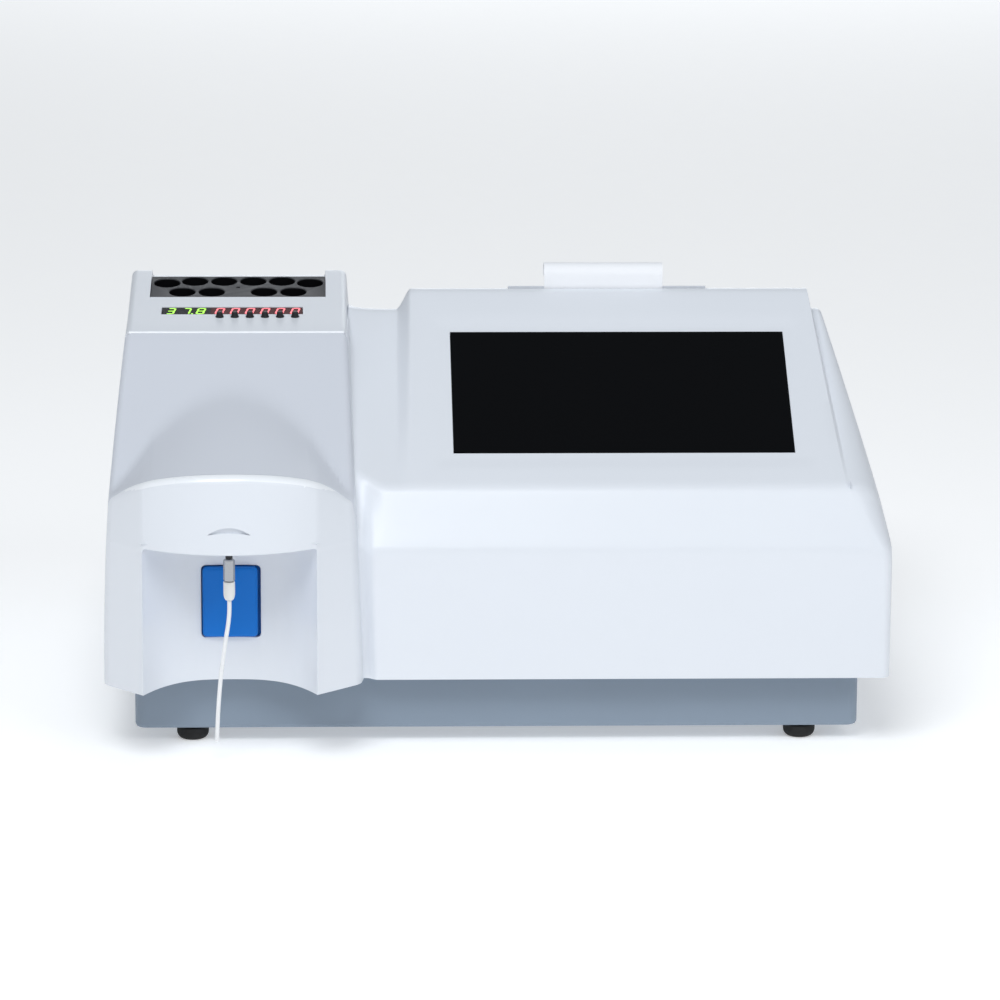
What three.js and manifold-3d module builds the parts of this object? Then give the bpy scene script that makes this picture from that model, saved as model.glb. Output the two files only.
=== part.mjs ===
// Semi-automatic benchtop chemistry analyzer: a moulded cover with a sampling tower on the left and a
// sloping touch display on the right, on a tray with four feet. Millimetres, +Z up, +X to the right.
// Depths are measured back from the main front face, and the whole model is centred at the end.
import * as THREE from "three";
import { mergeVertices } from "three/addons/utils/BufferGeometryUtils.js";
import Module from "manifold-3d";

const wasm = await Module();
wasm.setup();

// Small helpers for shape functions
const clamp = (v) => Math.min(1, Math.max(0, v));
const ramp = (a, b, v) => clamp((v - a) / (b - a));
const ease = (t) => t * t * (3 - 2 * t);
const mix = (a, b, t) => a + (b - a) * t;
const mixPoint = (a, b, t) => a.map((v, k) => mix(v, b[k], t));
const bump = (u) => Math.max(0, 1 - u * u);
const spread = (count) => Array.from({ length: count }, (_, k) => (k + 1) / (count + 1));

function smoothMin(a, b, blend) {
  const near = Math.max(0, 1 - Math.abs(a - b) / blend);
  return Math.min(a, b) - (near * near * blend) / 4;
}
const smoothMax = (a, b, blend) => -smoothMin(-a, -b, blend);

// Driving dimensions
const GAP = 0.3; // air between pieces that touch
const OVERRUN = 2; // how far a cutting tool passes the face that it cuts

const BODY = {
  right: 177.5, // right side of the cover
  bottom: 33, // lower edge of the cover above the table
  wall: 2.5,
  edgeRound: 3,
  back: 264,
  backRound: 6,
  roofFallShare: 0.2876, // of the roof's depth
};
const TOWER = {
  left: -177.5,
  recessLeft: -159.3,
  recessRight: -81.7,
  right: -61.6,
  wallFront: -6, // depth of the side walls' front edge
  cornerFront: -24, // depth of the recess corners
  recessFloor: 2, // depth of the recess at its middle
  lipFront: -36, // depth of the lip at its middle
  lipHeight: 100,
  lipEdge: 3,
  lipRise: 3,
  lipBlend: 8,
  hoodHalf: 58.5,
  hoodClimb: 17.5, // from the lip up to the arch's ends
  hoodRise: 16.5, // how much the arch climbs to its middle
  hoodLean: 8, // how far the hood leans back from lip to rim
  hoodFall: 4,
  hoodPitch: 0.2118,
  rimRound: 3.5,
  slopeFoot: -2,
  slopePitch: 0.5773,
  creaseBlend: 3,
  seam: 95,
  panelPitch: 0.1423,
  cheekShare: 0.6,
  panelLeft: -160.4,
  panelRight: -77.6,
  blockBehind: 46.7, // from the seam to the block's front edge
  blockDeep: 29.6,
  earBehind: 9, // from the block to the highest line
  backPitch: 0.5663,
  earNotch: 4.5,
  notchDeep: 7.7,
  leanLeft: 7.4,
  leanRight: 6,
};
const MAIN = {
  front: 0,
  groove: 3, // depth of the channel beside the tower
  grooveEnd: -56,
  shoulderFoot: 93,
  footEdge: 5,
  shoulderTop: 118.5,
  shoulder: 15,
  shoulderBack: 6, // how far the shoulder draws back beside the tower
  shoulderStart: -50,
  ridge: 137,
  wedgeRise: 67, // climb of the raised display field from the shoulder to its ridge
  wedgeStep: 9.7, // from that ridge down to the deck's
  ridgeRound: 3.5,
  coveHeight: 5,
  coveShare: 0.25, // of the wall beside it
  coveReachShare: 0.75, // of the valley's width
  wedgeLeft: -39.8,
  flareWidth: 6.7, // of the wall between the valley and the display field
  wingWidth: 20.6, // from the right side to the display field
  flankWidth: 2.2,
  wedgeLeanLeft: 2.6,
  wedgeLeanRight: 7.6,
  footLeanRight: 8.6,
  rightLean: 21.6,
  leanPowerShare: 1.12,
  shoulderRound: 13,
  frontRound: 4,
  ridgeEdgeRound: 2,
  roundPowerShare: 0.8,
};
const LID = { skirt: 6, slot: 0.9, edgeGap: 0.4, rodRadius: 0.55 };
const HOOD_FOOT = TOWER.lipHeight + TOWER.hoodClimb; // height of the arch's ends
const BLOCK_FRONT = TOWER.seam + TOWER.blockBehind;
const BLOCK_BACK = BLOCK_FRONT + TOWER.blockDeep;
const EAR = BLOCK_BACK + TOWER.earBehind;
const NOTCH_END = EAR + TOWER.notchDeep;
const WEDGE_RIGHT = BODY.right - MAIN.wingWidth;
const WEDGE_RIDGE = MAIN.shoulderTop + MAIN.wedgeRise;
const DECK_RIDGE = WEDGE_RIDGE - MAIN.wedgeStep;
const SLOPE_LENGTH = Math.hypot(MAIN.ridge - MAIN.shoulder, MAIN.wedgeRise);
const EAVES = BODY.back - 2 * BODY.backRound; // depth where the roof turns down

const BEZEL = { left: 20.3, right: 21.4, low: 23.8, high: 31.7 }; // widths round the screen
const SCREEN = {
  left: MAIN.wedgeLeft + BEZEL.left,
  right: WEDGE_RIGHT - BEZEL.right,
  low: BEZEL.low,
  high: SLOPE_LENGTH - BEZEL.high,
};
const PAPER_LID = { behindRidge: 2.9, deep: 65.1 };
const PRINTER = {
  left: 8.4,
  right: 101.7,
  front: MAIN.ridge + PAPER_LID.behindRidge,
  slot: 1.9,
  back: MAIN.ridge + PAPER_LID.behindRidge + PAPER_LID.deep,
  paperLeft: 25.4,
  paperWidth: 56,
};
const BASE = {
  inset: 12.9, // from the cover's sides to the tray's
  flangeInset: 3.5,
  front: 13,
  backInset: 13,
  bottom: 6.5,
  top: 36,
  wall: 2,
  corner: 5,
  edge: 1.8, // rounding of the bottom edge
  flangeFront: 5.5,
  flangeBackInset: 7,
};
const BASE_BACK = BODY.back - BASE.backInset;

// Tower: digit strip, timer buttons, sampling button, nozzle and the nick in the hood
const STRIP_PLACE = { left: 6.1, right: 10.6, low: 23, high: 33, buttons: 19.8 };
const WINDOW = {
  left: TOWER.panelLeft + STRIP_PLACE.left,
  right: TOWER.panelRight - STRIP_PLACE.right,
  low: TOWER.seam + STRIP_PLACE.low,
  high: TOWER.seam + STRIP_PLACE.high,
};
const TIMER = {
  count: 6,
  first: -127,
  spacing: 7.03,
  depth: TOWER.seam + STRIP_PLACE.buttons,
  radius: 1.7,
  skirtShare: 1.5,
  hole: 2.05,
  proud: 2.4,
  travel: 1,
};
const BAY_WINDOW = { lowShare: 0.295522, highShare: 0.797015 };
const BUTTON = {
  left: -133.8,
  right: -107,
  low: mix(BODY.bottom, TOWER.lipHeight, BAY_WINDOW.lowShare),
  high: mix(BODY.bottom, TOWER.lipHeight, BAY_WINDOW.highShare),
  corner: 2,
  clear: 0.6,
  face: -0.9,
  bevel: 1.3,
  thick: 7,
  flange: 5,
};
const NOZZLE_DROP = { top: 4, collar: 15.7, ferrule: 24.6 };
const NOZZLE = {
  x: -120.8,
  depth: -18,
  top: TOWER.lipHeight - NOZZLE_DROP.top,
  collar: TOWER.lipHeight - NOZZLE_DROP.collar,
  ferrule: TOWER.lipHeight - NOZZLE_DROP.ferrule,
  stem: 1.6,
  hole: 2.1,
  nut: 3.2,
  radius: 2.6,
  chamfer: 0.5,
};
const NICK = { half: 9.6, height: 3.4, rise: 10.6, depth: 1.2 };
const FOOT = { radius: 7.3, sole: 4.6, bulge: 3.2, sideInset: 26, inset: 9 };

// Display, incubator block and timer strip
const PANEL = { border: 4, depth: 6, top: 2.9, sheet: 1.5, board: 1.6, inset: 18, post: 2 };
const WELL = { radius: 6.15, depth: 26, block: 30, sunk: 0.3, probe: 1, heater: 3 };
const WELLS = {
  rear: [-33.8, -20.6, -6.8, 7, 20.7, 34],
  rearRow: 23,
  rearEnds: 20.6,
  front: [-26.3, -12.4, 12.3, 26.1],
  frontRow: 8,
  probeRow: 14.3,
};
const STRIP = { flange: 2, lip: 0.8, under: 2.9, thick: 1.4, board: 1.6, boardTop: 8.2, margin: 7 };

// Sample switch and the chassis in the tower
const SWITCH = { width: 11, height: 8, depth: 9.7, plunger: 0.6, bracket: 1.5, front: 12.3, low: 50 };
const CHASSIS = {
  left: -159,
  right: -72,
  front: 24.1,
  back: 158,
  top: TOWER.lipHeight,
  sheet: 2,
  foot: 8,
  slot: 12,
  slots: 3,
};
const TUBE = { radius: 0.95, sides: 8, steps: 18 };

// Pump and light path on the chassis
const PUMP = {
  x: -96,
  y: 56,
  width: 42,
  floor: 3,
  wall: 3,
  bore: 16,
  height: 15,
  shaft: 2,
  hub: 5,
  arm: 11,
  roller: 3.4,
  rollers: 3,
  motor: 14,
  motorLength: 34,
};
const OPTICS = {
  y: 104,
  axis: 18, // height of the light path above the chassis
  bore: 6,
  lampLeft: -157,
  lampRight: -138,
  lampDeep: 12,
  lampTall: 36,
  fin: 1.6,
  fins: 4,
  cellLeft: -136,
  cellRight: -108,
  cellDeep: 14,
  cellTall: 38,
  cell: 12,
  cellProud: 4,
  lens: 4,
  wheelLeft: -104.5,
  wheel: 20,
  wheelThick: 3,
  wheelHub: 4,
  filterRing: 15,
  filters: 8,
  filter: 4,
  bracket: 1.6,
  motor: 9.5,
  motorLength: 18,
  detector: 11,
};

// Printer under its lid
const BAY = { inset: 4.6, front: 7.1, back: 5.5, frontDrop: 19.5, deep: 64.5, roll: 34.1 };
const PLATEN = { behind: 3.7, drop: 12 };
const HEAD = { lowDrop: 19.5, highDrop: 10, tongueDrop: 17.5, curlRise: 5 };
const PRINT = {
  bayLeft: PRINTER.left + BAY.inset,
  bayRight: PRINTER.right - BAY.inset,
  bayFront: PRINTER.front + BAY.front,
  bayBack: PRINTER.back - BAY.back,
  bayFrontTop: WEDGE_RIDGE - BAY.frontDrop,
  bayLow: WEDGE_RIDGE - BAY.deep,
  wall: 1.6,
  rimDrop: 3,
  rim: 2,
  rimSide: 8,
  roll: 19,
  core: 6,
  rollY: PRINTER.front + BAY.roll,
  platen: 4,
  platenY: PRINTER.front + PLATEN.behind,
  platenZ: WEDGE_RIDGE - PLATEN.drop,
  shaft: 1.5,
  arm: 2,
  armDeep: 7.5,
  head: 5.5,
  headLow: WEDGE_RIDGE - HEAD.lowDrop,
  headHigh: WEDGE_RIDGE - HEAD.highDrop,
  paper: 0.35,
  curl: 5.5,
  curlHeight: WEDGE_RIDGE + HEAD.curlRise,
  tongueLow: WEDGE_RIDGE - HEAD.tongueDrop,
  tear: 1,
};

// Electronics on the tray
const BOARD_PLACE = { left: 22, right: 82.5, behind: 20 };
const SUPPLY = { right: 32.5, width: 105, back: 19, depth: 67 };
const ELECTRONICS = {
  boardLeft: CHASSIS.right + BOARD_PLACE.left,
  boardRight: BODY.right - BOARD_PLACE.right,
  boardFront: 35,
  boardBack: BASE_BACK - SUPPLY.back - SUPPLY.depth - BOARD_PLACE.behind,
  lift: 6,
  board: 1.6,
  post: 2.5,
  chip: 14,
  chips: 4,
  supplyLeft: BODY.right - SUPPLY.right - SUPPLY.width,
  supplyRight: BODY.right - SUPPLY.right,
  supplyFront: BASE_BACK - SUPPLY.back - SUPPLY.depth,
  supplyBack: BASE_BACK - SUPPLY.back,
  supplyTop: 46,
  vent: 3,
  vents: 6,
};

// Rear panel with its fan, inlet, rocker switch, data port and waste port
const REAR_PLACE = { rightInset: 31.5, width: 196, eaveDrop: 24.7 };
const REAR = {
  left: BODY.right - REAR_PLACE.rightInset - REAR_PLACE.width,
  right: BODY.right - REAR_PLACE.rightInset,
  low: 48,
  high: DECK_RIDGE - (EAVES - MAIN.ridge) * BODY.roofFallShare - REAR_PLACE.eaveDrop,
  plate: 1.5,
  lap: 4,
};
const FAN_PLACE = { left: 38, margin: 5, rim: 2 };
const FAN = {
  x: REAR.left + FAN_PLACE.left,
  z: (REAR.low + REAR.high) / 2,
  size: REAR.high - REAR.low - 2 * FAN_PLACE.margin,
  depth: 15,
  bore: (REAR.high - REAR.low) / 2 - FAN_PLACE.margin - FAN_PLACE.rim,
  hub: 9,
  blades: 7,
  blade: 1.6,
  spoke: 2.4,
  rings: 3,
};
const PANEL_PLACE = {
  inlet: 34,
  inletShare: 0.343,
  rockerShare: 0.743,
  port: 84,
  waste: 122,
  wasteShare: 0.2,
};
const INLET = {
  x: REAR.right - PANEL_PLACE.inlet,
  z: mix(REAR.low, REAR.high, PANEL_PLACE.inletShare),
  width: 27,
  height: 19.6,
  depth: 20,
  rim: 2,
  floor: 12,
  pin: 1,
  pinSpacing: 7,
};
const ROCKER = {
  x: INLET.x,
  z: mix(REAR.low, REAR.high, PANEL_PLACE.rockerShare),
  width: 13,
  height: 19,
  rim: 1.5,
  wall: 1.5,
  depth: 12,
  tilt: 8,
  crown: 1.2,
};
const PORT = {
  x: REAR.right - PANEL_PLACE.port,
  z: INLET.z,
  width: 18,
  height: 9,
  depth: 8,
  screw: 2,
  wall: 1.5,
};
const WASTE = {
  x: REAR.right - PANEL_PLACE.waste,
  z: mix(REAR.low, REAR.high, PANEL_PLACE.wasteShare),
  radius: 3,
  rim: 5,
  bore: 1.6,
  depth: 14,
};

const SEAM_HEIGHT = HOOD_FOOT + (TOWER.seam - TOWER.slopeFoot) * TOWER.slopePitch;
const EAR_HEIGHT = SEAM_HEIGHT + (EAR - TOWER.seam) * TOWER.panelPitch;
const TOWER_CENTRE = (TOWER.recessLeft + TOWER.recessRight) / 2;
const RECESS_HALF = (TOWER.recessRight - TOWER.recessLeft) / 2;
const DECK_PITCH = (DECK_RIDGE - MAIN.shoulderTop) / (MAIN.ridge - MAIN.shoulder);
const WEDGE_PITCH = (WEDGE_RIDGE - MAIN.shoulderTop) / (MAIN.ridge - MAIN.shoulder);
const PANEL_TILT = Math.atan(TOWER.panelPitch);
const WEDGE_TILT = Math.atan(WEDGE_PITCH);
const BASE_FLOOR = BASE.bottom + BASE.wall;
const CENTRE_DEPTH = (TOWER.lipFront + BODY.back) / 2;

// Materials
const material = (color, roughness, metalness = 0) =>
  new THREE.MeshStandardMaterial({ color, roughness, metalness });
const WHITE = material(0xe4e7ee, 0.42);
const BLUE_GREY = material(0x8692a2, 0.5);
const BLACK = material(0x17181a, 0.5);
const GLASS = material(0x101113, 0.08);
const DARK = material(0x46464b, 0.6);
const BLUE = material(0x1e69b9, 0.35);
const STEEL = material(0xb4b6bb, 0.28, 1);
const ALUMINIUM = material(0xc3c6ca, 0.4, 1);
const RUBBER = material(0x1b1b1c, 0.85);
const BOARD = material(0x1d5a3a, 0.55);
const PAPER = material(0xf0f0f8, 0.8);
const LENS = material(0x5a1418, 0.15);
const GLASS_CLEAR = material(0xdfe9ee, 0.05);
const NATURAL = material(0xf1efe9, 0.45);

// Solids: a closed geometry as a solid that can be cut and joined, and back
function solid(geometry) {
  const plain = geometry.index ? geometry.toNonIndexed() : geometry.clone();
  const bare = new THREE.BufferGeometry().setAttribute("position", plain.getAttribute("position"));
  const merged = mergeVertices(bare, 1e-4);
  return new wasm.Manifold(
    new wasm.Mesh({
      numProp: 3,
      vertProperties: new Float32Array(merged.attributes.position.array),
      triVerts: new Uint32Array(merged.index.array),
    }),
  );
}
function geometryOf(manifold) {
  const made = manifold.getMesh();
  const geometry = new THREE.BufferGeometry();
  geometry.setAttribute("position", new THREE.BufferAttribute(made.vertProperties, 3));
  geometry.setIndex(new THREE.BufferAttribute(made.triVerts, 1));
  geometry.computeVertexNormals();
  return geometry;
}
const asSolid = (g) => (g.isBufferGeometry ? solid(g) : g);
const join = (first, ...rest) => rest.reduce((a, b) => a.add(asSolid(b)), asSolid(first));
const cut = (first, ...rest) => rest.reduce((a, b) => a.subtract(asSolid(b)), asSolid(first));
const common = (first, ...rest) => rest.reduce((a, b) => a.intersect(asSolid(b)), asSolid(first));

function node(name, shape, finish) {
  const mesh = new THREE.Mesh(shape.isBufferGeometry ? shape : geometryOf(shape), finish);
  mesh.name = name;
  return mesh;
}

// A box between two corners
function block(x0, x1, y0, y1, z0, z1) {
  return new THREE.BoxGeometry(x1 - x0, y1 - y0, z1 - z0).translate(
    (x0 + x1) / 2,
    (y0 + y1) / 2,
    (z0 + z1) / 2,
  );
}
// A rounded rectangle's outline about a centre
function roundedRect(width, height, radius) {
  const w = width / 2;
  const h = height / 2;
  const r = Math.min(radius, w, h);
  const shape = new THREE.Shape();
  shape.moveTo(-w + r, -h);
  shape.lineTo(w - r, -h);
  shape.absarc(w - r, -h + r, r, -Math.PI / 2, 0, false);
  shape.lineTo(w, h - r);
  shape.absarc(w - r, h - r, r, 0, Math.PI / 2, false);
  shape.lineTo(-w + r, h);
  shape.absarc(-w + r, h - r, r, Math.PI / 2, Math.PI, false);
  shape.lineTo(-w, -h + r);
  shape.absarc(-w + r, -h + r, r, Math.PI, Math.PI * 1.5, false);
  return shape;
}
// A flat outline raised along +Z from height 0
function extrude(shape, height, curveSegments = 3) {
  return new THREE.ExtrudeGeometry(shape, { depth: height, bevelEnabled: false, curveSegments });
}
// A plate with rounded corners, standing on height 0
const plate = (width, height, radius, thick) => extrude(roundedRect(width, height, radius), thick);
// The same, facing forwards: its outline is in X and Z and it runs back from depth 0
function facing(shape, thick, curveSegments = 3) {
  const raised = extrude(shape, thick, curveSegments);
  return raised.rotateX(Math.PI / 2).translate(0, thick, 0);
}
// A round bar along Z, standing on height 0
function rod(radius, length, sides = 16) {
  return new THREE.CylinderGeometry(radius, radius, length, sides)
    .rotateX(Math.PI / 2)
    .translate(0, 0, length / 2);
}
const rodX = (radius, length, sides = 16) => rod(radius, length, sides).rotateY(Math.PI / 2);
const rodY = (radius, length, sides = 16) => rod(radius, length, sides).rotateX(-Math.PI / 2);
// A turned piece about Z from a list of radius and height pairs
function turned(points, sides = 20) {
  const profile = points.map(([r, z]) => new THREE.Vector2(r, z));
  return new THREE.LatheGeometry(profile, sides).rotateX(Math.PI / 2);
}
// An outline in depth and height, carried along X from x0 to x1
function sideProfile(points, x0, x1) {
  const shape = new THREE.Shape(points.map(([y, z]) => new THREE.Vector2(y, z)));
  const raised = extrude(shape, x1 - x0);
  raised.applyMatrix4(new THREE.Matrix4().makeBasis(
    new THREE.Vector3(0, 1, 0),
    new THREE.Vector3(0, 0, 1),
    new THREE.Vector3(1, 0, 0),
  ));
  return raised.translate(x0, 0, 0);
}

// Housing form: walls that lean with height, given as the place of each wall at a height
const towerShare = (z) => Math.min(1, (z - BODY.bottom) / (SEAM_HEIGHT - BODY.bottom));
const panelShare = (z) => ease(ramp(HOOD_FOOT, SEAM_HEIGHT, z));
const wedgeShare = (z) => clamp((z - MAIN.shoulderTop) / (WEDGE_RIDGE - MAIN.shoulderTop));
const leftWall = (z) => TOWER.left + TOWER.leanLeft * Math.max(0, towerShare(z)) ** 2;
const innerWall = (z) => TOWER.right - TOWER.leanRight * towerShare(z);
const wedgeLeft = (z) => MAIN.wedgeLeft + MAIN.wedgeLeanLeft * wedgeShare(z);
const wedgeRight = (z) => WEDGE_RIGHT - MAIN.wedgeLeanRight * wedgeShare(z);
const wedgeFootLeft = (z) => wedgeLeft(z) - MAIN.flareWidth;
const wedgeFootRight = (z) => WEDGE_RIGHT + MAIN.flankWidth - MAIN.footLeanRight * wedgeShare(z);
function rightWall(z) {
  const climb = Math.max(0, z - MAIN.shoulderFoot) / (DECK_RIDGE - MAIN.shoulderFoot);
  return BODY.right - MAIN.rightLean * climb ** MAIN.leanPowerShare;
}

// Front faces of the tower in plan: a hollow recess below the lip, a bulged hood above, and slanted cheeks
function cheekFront(x) {
  const pastLeft = ramp(TOWER.recessLeft, TOWER.left, x);
  const pastRight = ramp(TOWER.recessRight, TOWER.right, x);
  return mix(TOWER.cornerFront, TOWER.wallFront, Math.max(pastLeft, pastRight));
}
function lowFront(x) {
  const u = clamp(Math.abs(x - TOWER_CENTRE) / RECESS_HALF);
  return cheekFront(x) + (TOWER.recessFloor - TOWER.cornerFront) * (1 - u ** 3);
}
function upFront(x) {
  return cheekFront(x) + (TOWER.lipFront - TOWER.cornerFront) * bump((x - TOWER_CENTRE) / RECESS_HALF);
}
const hoodCrown = (x) => bump((x - TOWER_CENTRE) / TOWER.hoodHalf);
const rimDepth = (x) => upFront(x) + mix(TOWER.hoodFall, TOWER.hoodLean, hoodCrown(x));

// Heights of the top faces
function towerHeight(x, y, notched) {
  const reach = TOWER.hoodRise + (y - TOWER.lipFront - TOWER.hoodLean) * TOWER.hoodPitch;
  const hood = HOOD_FOOT + reach * hoodCrown(x);
  const slope = HOOD_FOOT + (y - TOWER.slopeFoot) * TOWER.slopePitch;
  const panel = SEAM_HEIGHT + (y - TOWER.seam) * TOWER.panelPitch;
  const back = EAR_HEIGHT - (y - EAR) * TOWER.backPitch;
  const lid = smoothMax(slope, hood, TOWER.creaseBlend);
  const front = smoothMin(lid, panel, TOWER.creaseBlend / 2);
  const past = y > BLOCK_BACK ? 1 - ramp(EAR, NOTCH_END, y) : 0;
  return smoothMin(front, back, TOWER.creaseBlend / 2) - (notched ? TOWER.earNotch * past : 0);
}
function fieldHeight(y, pitch, ridge) {
  const slope = MAIN.shoulderTop + (y - MAIN.shoulder) * pitch;
  const roof = ridge - (y - MAIN.ridge) * BODY.roofFallShare;
  return smoothMin(slope, roof, MAIN.ridgeRound);
}
function mainHeight(y, wedge, cove) {
  const deck = fieldHeight(y, DECK_PITCH, DECK_RIDGE);
  const raised = fieldHeight(y, WEDGE_PITCH, WEDGE_RIDGE);
  const beside = Math.max(0, towerHeight(TOWER.right, y, false) - deck);
  return deck + wedge * (raised - deck) + cove * Math.min(MAIN.coveHeight, beside * MAIN.coveShare);
}

// Depths of the rows over the top, on the tower and on the main body, row by row
const slopeShares = [0.06, 0.162, 0.28, 0.4, 0.52, 0.65, 0.79, 0.9];
const topRowShares = [
  [TOWER.seam - LID.slot, MAIN.ridge - MAIN.ridgeRound],
  [TOWER.seam + LID.slot, MAIN.ridge],
  [mix(TOWER.seam, BLOCK_FRONT, 1 / 2), PRINTER.front],
  [BLOCK_FRONT, mix(PRINTER.front, PRINTER.back, 1 / 6)],
  [BLOCK_BACK, mix(PRINTER.front, PRINTER.back, 1 / 3)],
  [BLOCK_BACK + GAP, mix(PRINTER.front, PRINTER.back, 1 / 2)],
  [EAR - TOWER.creaseBlend / 2, mix(PRINTER.front, PRINTER.back, 2 / 3)],
  [EAR + TOWER.creaseBlend / 2, mix(PRINTER.front, PRINTER.back, 5 / 6)],
  [NOTCH_END, PRINTER.back],
  [mix(NOTCH_END, EAVES, 0.6), mix(PRINTER.back, EAVES, 0.4)],
  [EAVES, EAVES],
];

// One profile from the front bottom edge over the top to the back bottom edge, as depth and height pairs
function fullProfile(front, edge, round, height, lastSlope, pick) {
  const [start, root, lip] = front;
  const length = Math.hypot(edge[0] - lip[0], edge[1] - lip[1]);
  const before = mixPoint(lip, edge, 1 - round / length);
  const after = [edge[0] + round, height(edge[0] + round)];
  const middle = before.map((v, k) => (v + 2 * edge[k] + after[k]) / 4);
  const points = [start, root, lip, mixPoint(lip, edge, 1 / 2), before, middle, after];
  for (const share of slopeShares) {
    const y = mix(after[0], lastSlope, share);
    points.push([y, height(y)]);
  }
  for (const row of topRowShares) points.push([row[pick], height(row[pick])]);
  const eaves = height(EAVES);
  points.push([BODY.back - BODY.backRound / 2, eaves - BODY.backRound * BODY.roofFallShare * 2]);
  points.push([BODY.back, eaves - 2 * BODY.backRound]);
  points.push([BODY.back, (eaves + BODY.bottom) / 2]);
  points.push([BODY.back, BODY.bottom]);
  return points;
}
function towerProfile(x, notched = false) {
  const low = lowFront(x);
  const up = upFront(x);
  const opened = ease(clamp((low - up) / TOWER.lipBlend));
  const root = TOWER.lipHeight - TOWER.lipEdge + (TOWER.lipEdge + TOWER.lipRise) * opened;
  const height = (y) => towerHeight(x, y, notched);
  const rim = rimDepth(x);
  const front = [[low, BODY.bottom], [low, root], [up, TOWER.lipHeight]];
  return fullProfile(front, [rim, height(rim)], TOWER.rimRound, height, topRowShares[0][0], 0);
}
function mainProfile(x, wedge, cove = 0) {
  const beside = 1 - ease(ramp(TOWER.right, MAIN.grooveEnd, x));
  const drawn = 1 - ease(ramp(TOWER.right, MAIN.shoulderStart, x));
  const front = MAIN.front + MAIN.groove * beside;
  const shoulder = MAIN.shoulder + MAIN.shoulderBack * drawn;
  const height = (y) => mainHeight(y, wedge, cove);
  const rows = [
    [front, BODY.bottom],
    [front, MAIN.shoulderFoot - MAIN.footEdge],
    [front, MAIN.shoulderFoot],
  ];
  return fullProfile(rows, [shoulder, height(shoulder)], TOWER.rimRound, height, topRowShares[0][1], 1);
}
// Length along a profile at each of its points
function reachOf(points) {
  const reach = [0];
  for (let j = 1; j < points.length; j += 1) {
    const [a, b] = [points[j - 1], points[j]];
    reach.push(reach[j - 1] + Math.hypot(b[0] - a[0], b[1] - a[1]));
  }
  return reach;
}
// The point of a profile at a length along it
function pointAt(points, reach, length) {
  const k = Math.max(1, reach.findIndex((r) => r >= length));
  const last = length >= reach[reach.length - 1] ? points.length - 1 : k;
  return mixPoint(points[last - 1], points[last], ramp(reach[last - 1], reach[last], length));
}
// Moves a profile inwards, square to a chord as long as the move, so that deep moves don't fold it
function insetProfile(points, distance) {
  const reach = reachOf(points);
  return points.map(([y, z], j) => {
    const depth = typeof distance === "function" ? distance(y, z) : distance;
    const chord = Math.max(depth, GAP);
    const before = pointAt(points, reach, reach[j] - chord);
    const after = pointAt(points, reach, reach[j] + chord);
    const run = Math.hypot(after[0] - before[0], after[1] - before[1]);
    const flat = j === 0 || j === points.length - 1 ? 0 : (after[0] - before[0]) / run;
    return [y + (depth * (after[1] - before[1])) / run, z - depth * flat];
  });
}
// Depths along a straight bottom edge that follow the profile's length
function bottomPoints(profile) {
  const reach = reachOf(profile);
  const [first, last] = [profile[0][0], profile[profile.length - 1][0]];
  return reach.map((r) => [mix(first, last, r / reach[reach.length - 1]), BODY.bottom]);
}

// Columns of the skin from the left bottom edge over the tower, valley and display field to the right
const wallShares = [0, 0.3, 0.6, 0.85];
const roundAngles = [0, Math.PI / 4, Math.PI / 2];
const recessShares = [
  [0, 0],
  [0.07, 0.01],
  [0.14, 0.1],
  [0.25, 0.22],
  [0.37, 0.36],
  [0.5, 0.5],
  [0.63, 0.64],
  [0.75, 0.78],
  [0.86, 0.9],
  [0.93, 0.99],
  [1, 1],
];
const coveShares = [0, 0.25, 0.55, 1];
const flareShares = [0, 0.3, 0.55, 0.8, 1];
const flankShares = [0, 0.35, 0.7, 1];

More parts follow.
